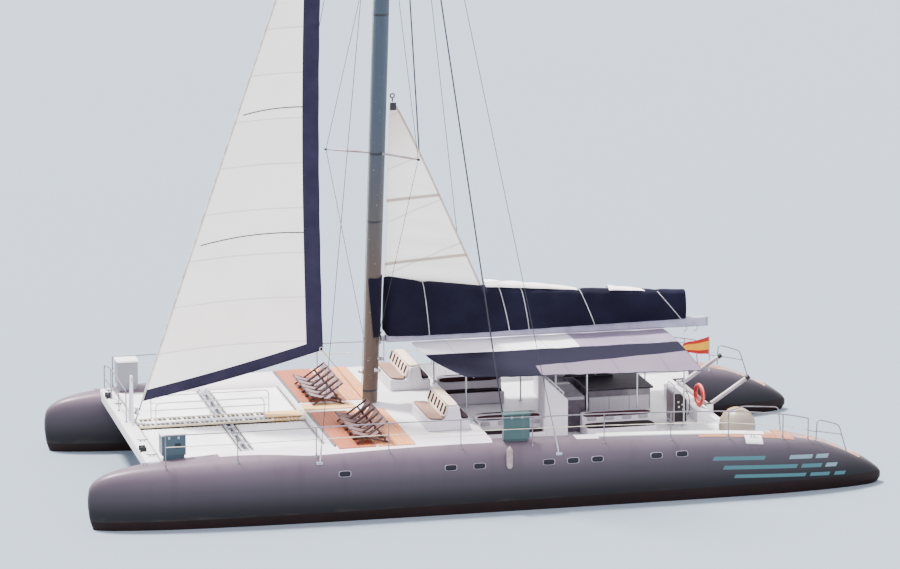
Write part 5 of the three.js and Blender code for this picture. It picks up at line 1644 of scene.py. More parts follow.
class BOAT_OT_canopy(bpy.types.Operator):
    """Canopy cloth with its hems, and the hoops and posts under it"""

    bl_idname = "boat.canopy"
    bl_label = "Canopy"

    def execute(self, context):
        colours, _ = settings(context)
        roof = tarpaulin("canopy_roof")
        side_cloths = {"port": wing_canvas(colours), "starboard": wing_canvas(colours, False)}
        hem_looks = {"port": cloth("canopy_hem_navy", colours.navy, colours.navy_faded),
                     "starboard": cloth("canopy_hem_pale", colours.canopy_pale, colours.canopy_grey)}
        steel = bare_metal("canopy_steel", (212, 214, 218), 0.22)
        frames = ["canopy_frame_port", "canopy_frame_starboard"]
        grid, flat = canopy_top_grid()
        canvas("canopy_roof_cloth", grid, flat, roof, "stretched", frames, stands_for=["canopy_top"],
               slot="canopy_navy", thick=0.01)
        for name, side in SIDES:
            grid, flat = canopy_wing_grid()
            canvas(f"canopy_side_cloth_{name}", grid, flat, side_cloths[name], "stretched",
                   [f"canopy_frame_{name}"], side, stands_for=[f"canopy_wing_{name}"], slot="canopy_navy")
            hem = np.vstack([grid[0, :-1], grid[:, -1], grid[-1, -2::-1]]) - [0, 0, 0.004]
            piece(f"canopy_hem_{name}", tube(hem, 0.009, 8).on_side(side), hem_looks[name])
            tubes = []
            for x in CANOPY_POSTS_X:
                foot = floor_under(x)
                middle, edge = (wing_height(x, v) - 0.03 for v in (0.507, 0.97))
                tubes.append(rod((x, CANOPY_POST_Y, foot), (x, CANOPY_POST_Y, middle), 0.024, sides=16))
                arm = [(x, 0.004, 3.56), (x, 0.98, 3.51), (x, CANOPY_POST_Y, middle), (x, 2.99, edge)]
                tubes.append(tube(bent(arm, 0.3, 6), 0.021, 12))
            ends = [(x, CANOPY_POST_Y, CANOPY_RAIL_Z) for x in (0.3, -6.28)]
            tubes.append(rod(*ends, 0.026, sides=16))
            piece(f"canopy_hoops_{name}", joined(tubes).on_side(side), steel,
                  stands_for=[f"canopy_frame_{name}"], slot="steel", crease=60)
            feet = [lathe(CANOPY_FOOT, (x, CANOPY_POST_Y, floor_under(x))) for x in CANOPY_POSTS_X]
            piece(f"canopy_feet_{name}", joined(feet).on_side(side), steel)
        return {"FINISHED"}


# Deck chairs

CHAIRS = 5
CHAIR_PITCH = 0.55
# Columns: side, x of the chairs' front, y where the row starts.
CHAIR_ROWS = [("port", 3.95, 1.85), ("starboard", 4.25, -2.85)]
# Columns: aft and up of each end of a side frame's two long bars and its prop.
CHAIR_BARS = [(0, 0.30, 1.0, 0.03), (0.06, 0.03, 0.95, 0.64), (0.64, 0.44, 0.9, 0.06)]
# Columns: aft and up of each cross bar.
CHAIR_CROSS = [(0.02, 0.294), (0.93, 0.626), (0.56, 0.13)]
# Columns: aft and up along a sling, from its front bar to its top bar.
SLING = [(0.02, 0.318), (0.14, 0.285), (0.32, 0.22), (0.5, 0.2), (0.64, 0.27), (0.78, 0.42), (0.93, 0.65)]


class BOAT_OT_chairs(bpy.types.Operator):
    """Two rows of low wooden deck chairs with cloth slings"""

    bl_idname = "boat.chairs"
    bl_label = "Deck chairs"

    def execute(self, context):
        colours, _ = settings(context)
        stain = wood("chair_wood", colours.chair, (74, 34, 30), scale=2.0, coat=0.3)
        looks = {"port": striped("sling_brown", (98, 56, 54), (158, 126, 122)),
                 "starboard": striped("sling_white", (182, 168, 176), (100, 52, 52))}
        curve = smooth_rows(SLING, 5)
        aft, rise = curve[:, :1], curve[:, 1:]
        run, share = unit_grid(len(curve), 9)
        dip = 0.03 * np.sin(math.pi * share) * np.sin(math.pi * run)
        for name, front, start in CHAIR_ROWS:
            bars = []
            for n in range(CHAIRS):
                low, high = start + n * CHAIR_PITCH, start + (n + 1) * CHAIR_PITCH
                for y in (low + 0.035, high - 0.035):
                    bars += [bar((front - a, y, DECK_Z + up), (front - b, y, DECK_Z + end), 0.028, 0.05)
                             for a, up, b, end in CHAIR_BARS]
                for a, up in CHAIR_CROSS:
                    x, z = front - a, DECK_Z + up
                    bars.append(bar((x, low + 0.01, z), (x, high - 0.01, z), 0.045, 0.024))
            piece(f"chair_frames_{name}", joined(bars), stain, stands_for=[f"deck_chairs_{name}"],
                  slot="chair_wood", bevel=0.005)
            for n in range(CHAIRS):
                across = start + n * CHAIR_PITCH + 0.06 + 0.43 * share
                grid = np.stack([front - aft + 0 * across, across, DECK_Z + rise - dip], -1)
                flat = np.stack([across - across[0, 0], aft + 0 * across], -1)
                canvas(f"chair_sling_{name}_{n}", grid, flat, looks[name], "hung", [f"deck_chairs_{name}"],
                       thick=0.005)
        return {"FINISHED"}


def striped(name, colour, second):
    """Deck-chair canvas: broad bands that run up the sling, in a plain weave."""
    s = Shade(name)
    across, _, _ = s.along(s.flat)
    band = s.band((across / 0.11).part(), 0.0, 0.5, 0.02)
    tone = s.mix(band, linear(colour), linear(second))
    tone = s.over(tone, s.step(s.noise(6, 4), 0.4, 0.75) * 0.25, SLING_DIRT)
    return s.done(tone, 0.88, 0.0, s.bump(s.weave(0.012), 0.001, strength=0.4), Sheen_Weight=0.1)


# Gear on the after deck

RAFT_AT = (-7.4, 3.35, 1.3003)
# Columns: radius, height of the raft's shell, of its two ribs, and of a rib's section about them.
RAFT = [(0.0, 0.0), (0.44, 0.0), (0.49, 0.035), (0.514, 0.11), (0.524, 0.23), (0.518, 0.32), (0.495, 0.425),
        (0.452, 0.52), (0.388, 0.615), (0.31, 0.69), (0.22, 0.745), (0.13, 0.78), (0.0, 0.798)]
RAFT_RIBS_AT = [(0.52, 0.28), (0.49, 0.43)]
RAFT_RIB = [(-0.01, -0.012), (0.006, -0.008), (0.006, 0.008), (-0.01, 0.012), (-0.01, -0.012)]
FENDER_X = -0.26
FENDER = [(0.0, 0.0), (0.05, 0.015), (0.085, 0.08), (0.09, 0.3), (0.085, 0.54), (0.05, 0.6), (0.02, 0.64),
          (0.0, 0.64)]
STAFF = (-8.74, -3.95)
STAFF_KNOB = [(0.0, 0.0), (0.026, 0.004), (0.03, 0.02), (0.02, 0.036), (0.0, 0.04)]
BUOY_AT = (-6.925, 1.15, 1.9773)
BUOY_TURN = 0.12
PIN_X, PIN_Z = -7.13, 1.71


class BOAT_OT_deck_gear(bpy.types.Operator):
    """Life raft, lifebuoy, flag, davits and fender"""

    bl_idname = "boat.deck_gear"
    bl_label = "Deck gear"

    def execute(self, context):
        colours, _ = settings(context)
        # The raft's white shell takes the grey tan of its shaded side all over: painted shade.
        shell = gelcoat("raft_white", (164, 155, 144))
        yellow = rope("gear_yellow", (214, 178, 90), (150, 116, 66))
        dark = plain("gear_dark", (52, 52, 58), 0.6)
        white = plain("gear_white", (228, 228, 230), 0.4)
        curve = smooth_rows(RAFT, 3)
        curve[:, 0] = curve[:, 0].clip(0)
        piece("raft_shell", lathe(curve, RAFT_AT, sides=64), shell, stands_for=["life_raft"],
              slot="raft_white", crease=50)
        ribs = [lathe(np.array(RAFT_RIB) + place, RAFT_AT, sides=64) for place in RAFT_RIBS_AT]
        piece("raft_ribs", joined(ribs), shell)
        downwards = curve[::-1]
        by_radius = downwards[np.argsort(-downwards[:, 0])]
        straps = []
        for y in (-0.2, 0.2):
            out = np.linspace(-0.46, 0.46, 41)
            height = np.interp(-np.sqrt(out ** 2 + y ** 2), -by_radius[:, 0], by_radius[:, 1])
            line = np.stack([out, np.full_like(out, y), height + 0.006], -1) + RAFT_AT
            straps.append(tube(line, 0.012, 8))
        foot = round_ring((*RAFT_AT[:2], 1.315), 0.5, 0.012, steps=64)
        piece("raft_lashing", joined([*straps, foot]), yellow)
        axis = (math.cos(BUOY_TURN), math.sin(BUOY_TURN), 0.0)
        piece("lifebuoy_ring", round_ring(BUOY_AT, 0.275, 0.06, axis, 64, 20), ring_buoy("buoy_red"),
              stands_for=["lifebuoy"], slot="buoy_red", crease=180)
        skin = float(hull_side(FENDER_X, 1.55)) + HULL_Y
        fender = lathe(FENDER, (FENDER_X, skin + 0.1, 1.22))
        piece("rail_fender", fender, plain("fender_beige", (196, 182, 178), 0.5), crease=60)
        piece("lifebuoy_line", round_ring(BUOY_AT, 0.33, 0.008, axis, 48, 8), white)
        staff = [rod((*STAFF, 1.2), (*STAFF, 2.53), 0.017, sides=16), lathe(STAFF_KNOB, (*STAFF, 2.52))]
        piece("flag_staff", joined(staff), white, stands_for=["flagstaff"], slot="flag_cloth")
        u, v = unit_grid(48, 24)
        wave = 0.05 * np.sin(u * 6) + 0.022 * np.sin(u * 15 + v * 2.4) * u
        drop = 2.49 - 0.2 * u - v * (0.54 - 0.27 * u) + 0.012 * np.sin(u * 9 + v) * u
        grid = np.stack([STAFF[0] + 0.01 + 0.82 * u, STAFF[1] + wave, drop], -1)
        bands = flag_cloth("flag_bands", colours)
        canvas("flag_bunting", grid, np.stack([u, v], -1), bands, "hung", ["flag_staff"], thick=0.004)
        tubes, caps = [], []
        for y in (-1.4, 1.4):
            foot, tip = np.array((PIN_X, y, PIN_Z)), np.array((-8.345, y, 2.51))
            run = (tip - foot) / np.linalg.norm(tip - foot)
            tubes.append(rod(foot + run * 0.02, tip - run * 0.12, 0.062, sides=28))
            caps.append(rod(tip - run * 0.13, tip, 0.069, sides=28))
            caps.append(rod(foot, foot + run * 0.1, 0.069, sides=28))
        davit_white = painted("davit_white", (198, 190, 192), (170, 160, 160), 0.4)
        piece("davit_tubes", joined(tubes), davit_white, "davits", ["davits"], "alloy", bevel=0.006)
        piece("davit_caps", joined(caps), dark, "davits", bevel=0.01)
        shaft = rod((PIN_X, -1.56, PIN_Z), (PIN_X, 1.56, PIN_Z), 0.056, sides=24)
        piece("davit_shaft", shaft, davit_white, "davits", bevel=0.006)
        return {"FINISHED"}


# Rigging, mast and sails

RAKE_SLOPE = math.tan(MAST_RAKE)
MAST_SPIN = spin("Y", -math.degrees(MAST_RAKE)) @ spin("Z", math.degrees(MAST_TURN))


def mast_axis_x(z):
    return MAST_X - (z - MAST_FOOT_Z) * RAKE_SLOPE


def up_mast(z):
    """Distance along the raked mast from its foot to a height."""
    return (z - MAST_FOOT_Z) / math.cos(MAST_RAKE)


def on_mast(form):
    """A form drawn on an upright mast with its nose forward, put where the raked and turned mast is."""
    return form.turned(MAST_SPIN).moved(MAST_X, 0, MAST_FOOT_Z)


HOUNDS = (mast_axis_x(HOUNDS_Z), 0.0, HOUNDS_Z)
FORESTAY_TOP = (HOUNDS[0] + 0.21, 0.0, HOUNDS_Z)
# Columns: radius, height.
HOUNDS_RING = [(0.096, -0.06), (0.225, -0.06), (0.23, -0.05), (0.23, 0.05), (0.225, 0.06), (0.096, 0.06),
               (0.096, -0.06)]
FURLER = [(0.0, 0.0), (0.1, 0.0), (0.1, 0.02), (0.06, 0.03), (0.06, 0.13), (0.1, 0.14), (0.1, 0.16),
          (0.0, 0.16)]
# Columns: start and end along the stay from its foot, radius of each part of a rigging screw.
SCREW_PARTS = [(0.02, 0.42, 0.024), (0.1, 0.3, 0.03), (0.42, 0.5, 0.02)]
# Rows: name, foot, where it meets the ring of the hounds, radius.
STAYS = [
    ("cap_shroud", (-0.35, 4.68, 1.72), (-0.02, 0.17, -0.06), 0.02),
    ("aft_stay", (-1.69, 5.2, 1.56), (-0.16, 0.09, -0.06), 0.009),
    ("lower_shroud", (5.04, 5.2, 1.66), (0.1, 0.16, -0.06), 0.009),
]


class BOAT_OT_rigging(bpy.types.Operator):
    """Forestay with its furling drum, and shrouds and stays with their rigging screws"""

    bl_idname = "boat.rigging"
    bl_label = "Standing rigging"

    def execute(self, context):
        wire = plain("rigging_wire", (84, 86, 96), 0.4, metal=0.5)
        cover = plain("shroud_cover", (60, 62, 76), 0.55)
        steel = bare_metal("rigging_steel", STEEL, 0.2)
        ring = lathe(HOUNDS_RING, (0, 0, 0), sides=48)
        ring = ring.turned(spin("Y", -math.degrees(MAST_RAKE))).moved(*HOUNDS)
        piece("hounds_ring", ring, steel, stands_for=["forestay"], slot="steel")
        piece("forestay_wire", rod(FORESTAY_FOOT, FORESTAY_TOP, 0.018, sides=12), cover)
        drum = lathe(FURLER, (9.29, 0, 2.05), (FORESTAY_TOP[0] - FORESTAY_FOOT[0], 0, HOUNDS_Z - 1.81))
        piece("furler_drum", drum, steel)
        for name, side in SIDES:
            for kind, foot, top, radius in STAYS:
                a, b = np.array(foot), np.array(HOUNDS) + top
                run = (b - a) / np.linalg.norm(b - a)
                line = rod(a, b, radius, sides=10).on_side(side)
                stand = [] if kind == "lower_shroud" else [f"{kind}_{name}"]
                piece(f"{kind}_wire_{name}", line, cover if radius > 0.01 else wire, stands_for=stand,
                      slot="steel" if stand else None)
                screw = [rod(a + run * low, a + run * high, r, sides=12) for low, high, r in SCREW_PARTS]
                piece(f"{kind}_screw_{name}", joined(screw).on_side(side), steel)
        return {"FINISHED"}


def stay_x(z):
    """Where the forestay is at a height."""
    foot_x, _, foot_z = FORESTAY_FOOT
    return foot_x + (FORESTAY_TOP[0] - foot_x) * (z - foot_z) / (HOUNDS_Z - foot_z)


# The headsail's corners: height and reach of its luff and of its leech, and x of its clew.
LUFF_Z, LUFF_REACH = 2.41, 14.49
LEECH_Z, LEECH_REACH = 3.62, 13.22
CLEW_X = 3.9
LUFF_GAP = 0.03
BELLY = -0.48
HEADSAIL_STEPS = (110, 70)
# Columns: x of the aft and of the fore end, height, drop of each draft stripe.
DRAFT_STRIPES = [(4.36, 6.12, 10.63, 0.16), (4.4, 7.38, 7.03, 0.23)]


def leech_at(u):
    """Where the leech is, u of the way up: it stands out aft by a half wave."""
    return CLEW_X - 0.1 * u + 0.12 * np.sin(math.pi * u)


def headsail_grid():
    """Rows from foot to head, columns from luff to leech.

    The belly is a half wave that dies out upwards, the foot hangs down a little, and the leech flutters.
    """
    u, v = unit_grid(*HEADSAIL_STEPS)
    luff_z = LUFF_Z + LUFF_REACH * u
    leech_z = LEECH_Z + LEECH_REACH * u
    leech_x = leech_at(u)
    luff_x = stay_x(luff_z) - LUFF_GAP
    v = v ** 0.9
    belly = BELLY * np.sin(math.pi * v) * (1 - u)
    x = luff_x + (leech_x - luff_x) * v
    grid = np.stack([x, belly, luff_z + (leech_z - luff_z) * v], -1)
    grid[..., 2] -= 0.2 * np.sin(math.pi * v) * (1 - u) ** 6
    grid[:, -6:, 1] += 0.02 * np.sin(u[:, -6:] * 60) * np.linspace(0, 1, 6)
    from_leech = x - leech_x
    from_foot = (leech_z - LEECH_Z) * v + (luff_z - LUFF_Z) * (1 - v)
    return grid, np.stack([from_leech, from_foot], -1)


def draft_stripe(aft, fore, high, drop):
    """A line over the sail that falls by the square of the way forward.

    The sail's own two shares at each point, u up and v back from the luff, come by turns from height and x.
    """
    share = np.linspace(0, 1, 40)
    x = aft + (fore - aft) * share
    z = high - drop * share ** 2
    v = (8.0 - x) / 4.0
    for _ in range(12):
        u = (z - LUFF_Z - (LEECH_Z - LUFF_Z) * v) / (LUFF_REACH + (LEECH_REACH - LUFF_REACH) * v)
        luff = stay_x(LUFF_Z + LUFF_REACH * u) - LUFF_GAP
        v = (luff - x) / (luff - leech_at(u))
    return np.stack([x, BELLY * np.sin(math.pi * v) * (1 - u), z], -1)


class BOAT_OT_headsail(bpy.types.Operator):
    """Headsail with its panels, sun strip, clew, draft stripes and sheets"""

    bl_idname = "boat.headsail"
    bl_label = "Headsail"

    def execute(self, context):
        colours, sizes = settings(context)
        look = sailcloth("headsail_cloth", colours, sizes.panel, sizes.strip)
        steel = bare_metal("sail_steel", STEEL, 0.2)
        yellow = rope("sheet_yellow", (196, 164, 96), (128, 98, 63))
        dark = plain("draft_stripe", (66, 64, 72), 0.8)
        grid, flat = headsail_grid()
        canvas("headsail_cloth", grid, flat, look, "stretched", ["forestay"], thick=0.006,
               stands_for=["headsail"], slot="sailcloth")
        sleeve = grid[:, 0] + [0.03, 0, 0]
        piece("headsail_luff", tube(sleeve, 0.03, 12), plain("luff_sleeve", (226, 222, 216), 0.7), crease=60)
        stripes = []
        for row in DRAFT_STRIPES:
            part = draft_stripe(*row)
            strip = np.stack([part - [0, 0, 0.014], part + [0, 0, 0.014]])
            stripes += [lattice(strip + [0, off, 0]) for off in (-0.012, 0.012)]
        piece("headsail_draft_stripes", joined(stripes), dark, thick=0.002)
        clew = grid[0, -1]
        piece("headsail_clew", round_ring(clew + [0.05, 0, 0.03], 0.05, 0.014, (0, 1, 0), 24, 8), steel)
        lines = [rod(clew + [0.03, 0.01 * side, 0], (2.78, 0.28 * side, 2.15), 0.01) for side in (1, -1)]
        piece("headsail_sheets", joined(lines), yellow)
        return {"FINISHED"}


# Columns: height along the mast, share of the full section.
MAST_STATIONS = [(0.0, 0.98), (up_mast(12.0), 1.0), (up_mast(20.4), 0.88), (up_mast(HOUNDS_Z) - 0.075, 0.45)]
SPREADER_Z = 9.25
SPREADER_LENGTH = 1.5
SPREADER_ANGLE = math.radians(77)
MAST_NOSE, MAST_TAIL, MAST_HALF = 0.3, 0.45, 0.195
# Columns: x, y, z and axis of each winch on the upright mast, then radius, height of its profile.
WINCHES_AT = [(0.08, 0.18, 0.95, (0, 1, 0)), (0.08, -0.18, 0.85, (0, -1, 0)), (-0.1, 0.17, 1.25, (0, 1, 0))]
WINCH = [(0.0, 0.0), (0.07, 0.0), (0.06, 0.03), (0.05, 0.1), (0.06, 0.14), (0.045, 0.16), (0.0, 0.16)]
# Places along the mast of its dark bands
MAST_BANDS = (0.35, up_mast(7.3), up_mast(SPREADER_Z), up_mast(13.2), up_mast(16.0))
DIAMOND_ENDS_Z = (3.6, 16.0)
HALYARDS_AT = ((0.2, -0.175), (0.12, -0.2))
EAR_REACH = 0.16
# The sleeve's foot and head, and the degrees from the mast's nose where it starts at each.
SLEEVE_Z = (3.95, 5.68)
SLEEVE_FROM = (52, -2)
SLEEVE_STEPS = (40, 36)


def mast_section(angle):
    """A drop: its nose is a circle stretched forward, its tail thins by the square of the cosine."""
    along, across = np.cos(angle), np.sin(angle)
    x = np.where(along > 0, along * MAST_NOSE, along * MAST_TAIL)
    return x, across * MAST_HALF * np.where(along < 0, 1 - 0.62 * along ** 2, 1)


def mast_ring(z, scale):
    """The mast's section at a height, times a scale."""
    x, y = mast_section(round_angles(48))
    return np.stack([x * scale, y * scale, np.full(48, z)], -1)


def mast_paint(name):
    """Grey paint, warm and grubby low down and bluer above, with streaks that run down."""
    s = Shade(name)
    _, _, z = s.along()
    high = s.step(z, 4.5, 11.0)
    tone = s.mix(high, linear(MAST_LOW), linear(MAST_HIGH))
    streaks = s.noise(2.0, 4, stretch=(4, 4, 0.15))
    tone = s.over(tone, s.step(streaks, 0.5, 0.75) * 0.3, MAST_STREAK)
    tone = s.over(tone, s.step(s.noise(18, 4), 0.68, 0.72) * 0.5, MAST_CHIP)
    normal = s.bump(s.noise(50, 3), 0.0006, strength=0.3)
    return s.done(tone, 0.5 + streaks * 0.12, 0.1, normal, Specular_IOR_Level=0.3)


class BOAT_OT_mast(bpy.types.Operator):
    """Turning mast with its track, spreaders, diamond stays, halyards and tack collar"""

    bl_idname = "boat.mast"
    bl_label = "Mast"

    def execute(self, context):
        colours, _ = settings(context)
        paint = mast_paint("mast_paint")
        arm_paint = painted("spreader_paint", (204, 198, 204), (160, 140, 144))
        steel = bare_metal("mast_steel", STEEL, 0.2)
        dark = plain("mast_dark", (56, 58, 68), 0.5)
        navy = cloth("collar_navy", colours.cover, colours.cover_faded)
        line = plain("halyard", (208, 200, 186), 0.8)
        stations = np.array(MAST_STATIONS)
        hounds, boom = up_mast(HOUNDS_Z), up_mast(BOOM_Z)
        lower = loft([mast_ring(z, np.interp(z, *stations.T)) for z in np.linspace(0, stations[-1, 0], 40)])
        upper = loft([mast_ring(hounds + 0.075, 0.45), mast_ring(up_mast(MAST_HEAD_Z), 0.5)])
        piece("mast_tube", on_mast(lower + upper), paint, "mast", ["mast"], "mast_paint", crease=40)
        neck = rod((0, 0, hounds - 0.2), (0, 0, hounds + 0.2), 0.088, sides=32)
        heel = rod((0, 0, -0.039), (0, 0, 0.06), 0.15, sides=32)
        track = slab((-0.47, -0.44), (-0.018, 0.018), (1.0, up_mast(19.0)))
        ears = [slab((-0.565, -0.4), (-0.055, 0.055), (z - 0.02, z + 0.02))
                for z in (boom - EAR_REACH, boom + EAR_REACH)]
        piece("mast_fittings", on_mast(joined([neck, heel, track, *ears])), steel, "mast", bevel=0.004)
        for name, side in SIDES:
            tip = np.array([math.cos(SPREADER_ANGLE) * SPREADER_LENGTH,
                            side * math.sin(SPREADER_ANGLE) * SPREADER_LENGTH, up_mast(SPREADER_Z)])
            root = tip * [0.12, 0.12, 1]
            arm = rod(root, tip, 0.036, far=0.024, sides=16)
            knob = rod(tip - (tip - root) * 0.03, tip + (tip - root) * 0.02, 0.034, sides=16)
            piece(f"spreader_{name}", on_mast(arm), arm_paint, "mast", [f"diamond_{name}"], "steel")
            piece(f"spreader_tip_{name}", on_mast(knob), dark, "mast")
            wires = [rod(tip * [0.11, 0.11, 0] + [0, 0, up_mast(z)], tip * [0.99, 0.99, 1], 0.008)
                     for z in DIAMOND_ENDS_Z]
            piece(f"diamond_wires_{name}", on_mast(joined(wires)), dark, "mast")
        halyards = [rod((x, y, 0.5), (x * 0.96, y * 0.96, up_mast(20.0)), 0.006) for x, y in HALYARDS_AT]
        piece("halyards", on_mast(joined(halyards)), line, "mast")
        bands = [loft([mast_ring(z + k * 0.03, np.interp(z, *stations.T) * 1.012) for k in (-1, 1)])
                 for z in MAST_BANDS]
        piece("mast_bands", on_mast(joined(bands)), dark, "mast")
        up, turn = unit_grid(*SLEEVE_STEPS)
        start = SLEEVE_FROM[0] + (SLEEVE_FROM[1] - SLEEVE_FROM[0]) * up
        x, y = mast_section(np.radians(start + (180 - start) * turn))
        low, high = (up_mast(z) for z in SLEEVE_Z)
        height = low + (high - low) * up + 0.01 * np.sin(turn * 14)
        sleeve = on_mast(Form(np.stack([x * 1.1, y * 1.12, height], -1), [])).points.reshape(*SLEEVE_STEPS, 3)
        canvas("mast_sleeve", sleeve, np.stack([turn * 0.6, up * 1.7], -1), navy, "stretched", ["mast_tube"],
               body="mast", thick=0.006)
        winches = [lathe(WINCH, (x, y, z), axis) for x, y, z, axis in WINCHES_AT]
        piece("mast_winches", on_mast(joined(winches)), steel, "mast")
        return {"FINISHED"}


# The gooseneck's pin
GOOSE = (2.168591, -0.409766, 3.798827)
# Columns: x from the gooseneck, bottom and top over the boom's middle, half width of the cover.
COVER_ROWS = [
    (-0.07, 0.25, 1.76, 0.06), (-0.22, 0.06, 1.79, 0.2), (-1.1, 0.04, 1.62, 0.29), (-3.1, 0.05, 1.37, 0.33),
    (-5.4, 0.09, 1.19, 0.32), (-9.0685, 0.13, 0.96, 0.23),
]
BOOM_HOOK = [(0, 0, -0.13), (0, 0, -0.26), (0.06, 0, -0.3), (0.09, 0, -0.24)]
# Columns: x of a strap at the cover's foot and at its top.
COVER_STRAPS = [(-1.42, -1.25), (-3.78, -3.49), (-4.36, -4.14), (-6.32, -5.88), (-8.93, -8.2)]
# Columns: share of the half width, share of the height, at even steps up the cover's side.
COVER_SIDE = [(0.8, 0.0), (0.97, 0.2), (1.0, 0.45), (0.9, 0.72), (0.66, 0.92), (0.3, 1.0)]
# The part of the mainsail that is up: its foot and head, what its chord loses upwards and keeps at the head.
RAISED_Z = (5.08, 10.59)
RAISED_CHORD = (2.75, 0.16)
# Rows: name, fore and aft end from the gooseneck, and height of each heap of stowed cloth.
STOWED_HEAPS = [("fore", -3.08, -5.85, 0.2), ("aft", -6.75, -7.85, 0.11)]


def cover_ring(x, low, high, half):
    """Section of the cover: straight sides drawn in to the boom below and over the stowed sail above."""
    keys = np.array(COVER_SIDE)
    share = np.linspace(0, 1, 20)
    wide = np.interp(share, np.linspace(0, 1, len(keys)), keys[:, 0]) * half
    rise = low + np.interp(share, np.linspace(0, 1, len(keys)), keys[:, 1]) * (high - low)
    y = np.concatenate([wide, -wide[::-1]])
    z = np.concatenate([rise, rise[::-1]])
    return np.stack([np.full(len(y), x), y, z], -1)


def cover_at(x):
    """Bottom, top and half width of the cover at a place along the boom."""
    rows = np.array(COVER_ROWS)[::-1]
    return [float(np.interp(x, rows[:, 0], rows[:, k])) for k in (1, 2, 3)]


class BOAT_OT_boom(bpy.types.Operator):
    """Gooseneck, boom, the laced cover over the stowed mainsail, and the part of the sail that is up"""

    bl_idname = "boat.boom"
    bl_label = "Boom and mainsail"

    def execute(self, context):
        colours, sizes = settings(context)
        alloy = painted("boom_alloy", (196, 194, 212), (172, 170, 190), 0.45)
        steel = bare_metal("boom_steel", (200, 202, 206), 0.22)
        navy = cloth("cover_navy", colours.cover, colours.cover_faded, fold=0.03)
        strap = plain("cover_strap", (214, 214, 218), 0.8)
        stowed = sailcloth("stowed_cloth", colours, sizes.panel, 0.0)
        sail = sailcloth("mainsail_cloth", colours, sizes.panel, 0.0, battens=((6.1, 0.06), (7.88, 0.06)))
        dressed("gooseneck_body", "gooseneck", steel, "gooseneck", "alloy", bevel=0.004)
        end = BOOM_END_X - GOOSE[0]
        body = slab((end + 0.03, -0.172), (-0.115, 0.115), (-0.14, 0.14)).moved(*GOOSE)
        piece("boom_body", body, alloy, "boom", ["boom"], "alloy", bevel=0.045)
        cap = slab((end, end + 0.04), (-0.105, 0.105), (-0.13, 0.13)).moved(*GOOSE)
        hook = tube(bent(BOOM_HOOK, 0.04), 0.014).moved(*GOOSE)
        hooks = [hook.moved(x=end + at) for at in (0.3, 0.62)]
        piece("boom_fittings", joined([cap, *hooks]), steel, "boom", bevel=0.006)
        rings = []
        for x in np.linspace(COVER_ROWS[0][0], COVER_ROWS[-1][0], 120):
            low, high, half = cover_at(x)
            ring = cover_ring(x, low, high, half)
            share = (ring[:, 2] - low) / (high - low)
            near = np.min([np.abs(x - foot - share * (top - foot)) for foot, top in COVER_STRAPS], axis=0)
            pinch = 1 - 0.1 * np.exp(-(near / 0.12) ** 2)
            ring[:, 1] *= pinch
            ring[:, 1] += 0.012 * np.sin(x * 9 + ring[:, 2] * 5)
            ring[:, 2] -= (1 - pinch) * 0.25 * (ring[:, 2] - low)
            ring[:, 0] -= RAKE_SLOPE * ring[:, 2] * max(0.0, 1 + x)
            rings.append(ring)
        piece("cover_cloth", loft(rings).moved(*GOOSE), navy, "boom", ["sail_cover"], "cover_navy", crease=60)
        straps = []
        for foot, top in COVER_STRAPS:
            low, high, half = cover_at((foot + top) / 2)
            ring = cover_ring(foot, low, high, half)
            ring[:, 1] *= 0.93
            ring[:, 2] = low + (ring[:, 2] - low) * 0.985
            ring[:, 0] += (ring[:, 2] - low) / (high - low) * (top - foot)
            straps.append(tube(ring, 0.013, 8))
        piece("cover_straps", joined(straps).moved(*GOOSE), strap, "boom")
        u, v = unit_grid(70, 40)
        foot, head = (height - BOOM_Z for height in RAISED_Z)
        z = foot + 0.47 * (1 - v) * (1 - u) + (head - foot - 0.2 * (1 - u)) * u
        luff = -z * RAKE_SLOPE - 0.09
        chord = RAISED_CHORD[0] * (1 - u) ** 0.92 + RAISED_CHORD[1]
        folds = 0.035 * np.sin(z * 11 + v * 3) * (1 - u) ** 1.5 * np.sin(math.pi * v)
        y = -0.06 * np.sin(math.pi * v) * (1 - u) + folds
        grid = np.stack([luff - chord * v, y, z], -1) + GOOSE
        canvas("mainsail_cloth", grid, np.stack([chord * (1 - v), z - foot], -1), sail, "stretched", ["boom"],
               thick=0.006, body="boom", stands_for=["mainsail"], slot="sailcloth")
        for name, fore, aft, rise in STOWED_HEAPS:
            run, out = unit_grid(60, 26, low=-1.0)
            x = fore + (aft - fore) * run
            crown = np.array([cover_at(value)[1] for value in x[:, 0]])[:, None]
            arch = np.sqrt(1 - (out * 0.98) ** 2)
            hump = rise * (1 - run ** 1.5) ** 0.5 * arch + 0.02 * np.sin(x * 9 + out * 2) * arch * (1 - run)
            heap = np.stack([x, out * 0.2 * (1 - 0.35 * run), crown - 0.035 + hump], -1) + GOOSE
            canvas(f"stowed_sail_{name}", heap, np.stack([x, out * 0.3], -1), stowed, "folded",
                   ["cover_cloth"], thick=0.006, body="boom")
        head = np.array(GOOSE) + [luff[-1, 0] - 0.1, 0, head]
        board = [slab((-0.09, 0.09), (-0.012, 0.012), (-0.2, 0.02)).moved(*head),
                 round_ring(head + [0.02, 0, 0.1], 0.045, 0.014, (1, 0, 0), 24, 8),
                 round_ring(head + [0.02, 0, 0.22], 0.06, 0.02, (0, 1, 0), 24, 8)]
        piece("headboard", joined(board), plain("headboard_dark", (70, 68, 74), 0.5), "boom")
        return {"FINISHED"}


WHEEL_AT = (-6.44, 1.5, 1.85)
# A third of a turn, in radians
SPOKE_TURN = 2.0944


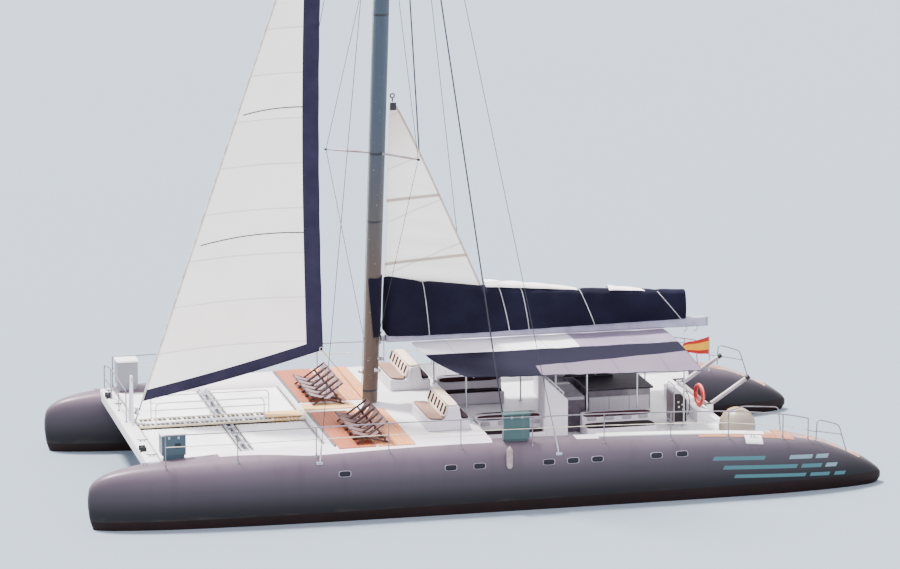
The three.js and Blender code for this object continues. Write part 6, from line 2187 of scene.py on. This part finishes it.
class BOAT_OT_drive(bpy.types.Operator):
    """Rudders, propellers and the helm wheel"""

    bl_idname = "boat.drive"
    bl_label = "Steering and propellers"

    def execute(self, context):
        red = painted("rudder_paint", (70, 52, 52), (92, 76, 70), 0.6)
        bronze = bare_metal("propeller_bronze", (150, 118, 66), 0.35)
        steel = bare_metal("wheel_steel", STEEL, 0.18)
        leather = plain("wheel_leather", (60, 46, 40), 0.7)
        for name, _ in SIDES:
            dressed(f"{name}_rudder_blade", f"{name}_rudder", red, f"{name}_rudder", "hull_paint")
            dressed(f"{name}_screw", f"{name}_propeller", bronze, f"{name}_propeller", "bronze", bevel=0.003)
        centre = np.array(WHEEL_AT)
        rim = round_ring(centre, 0.33, 0.015, (1, 0, 0), 72, 12)
        piece("wheel_rim", rim, leather, "helm_wheel", ["helm_wheel"], "steel", crease=60)
        spokes = []
        for angle in (0, SPOKE_TURN, 2 * SPOKE_TURN):
            out = np.array([0, math.sin(angle), math.cos(angle)])
            spokes.append(rod(centre, centre + out * 0.325, 0.009))
        spokes.append(rod(centre - [0.04, 0, 0], centre + [0.0897, 0, 0], 0.034, sides=24))
        piece("wheel_spokes", joined(spokes), steel, "helm_wheel", bevel=0.003)
        return {"FINISHED"}


# Panel and registration

STEPS = (
    BOAT_OT_stage, BOAT_OT_hulls, BOAT_OT_hull_fittings, BOAT_OT_bridge_deck, BOAT_OT_nets, BOAT_OT_beams,
    BOAT_OT_walkway, BOAT_OT_lockers, BOAT_OT_rails, BOAT_OT_furniture, BOAT_OT_cushions, BOAT_OT_canopy,
    BOAT_OT_chairs, BOAT_OT_deck_gear, BOAT_OT_rigging, BOAT_OT_headsail, BOAT_OT_mast, BOAT_OT_boom,
    BOAT_OT_drive,
)


class BOAT_PT_pieces(bpy.types.Panel):
    """Sizes, colours and every step that dresses the boat"""

    bl_idname = "BOAT_PT_pieces"
    bl_label = "Sailing catamaran"
    bl_space_type = "VIEW_3D"
    bl_region_type = "UI"
    bl_category = "Boat"

    def draw(self, context):
        scene = context.scene
        for group in (scene.boat_sizes, scene.boat_colours, scene.boat_stage):
            column = self.layout.column(align=True)
            for key in group.__annotations__:
                column.prop(group, key)
        for step in STEPS:
            self.layout.operator(step.bl_idname)


CLASSES = (BoatColours, BoatSizes, BoatStage, *STEPS, BOAT_PT_pieces)


def register():
    for each in CLASSES:
        bpy.utils.register_class(each)
    bpy.types.Scene.boat_colours = bpy.props.PointerProperty(type=BoatColours)
    bpy.types.Scene.boat_sizes = bpy.props.PointerProperty(type=BoatSizes)
    bpy.types.Scene.boat_stage = bpy.props.PointerProperty(type=BoatStage)


def unregister():
    del bpy.types.Scene.boat_colours
    del bpy.types.Scene.boat_sizes
    del bpy.types.Scene.boat_stage
    for each in reversed(CLASSES):
        bpy.utils.unregister_class(each)


def main():
    register()
    for step in STEPS:
        getattr(bpy.ops.boat, step.bl_idname.split(".")[1])()


if __name__ == "__main__":
    main()
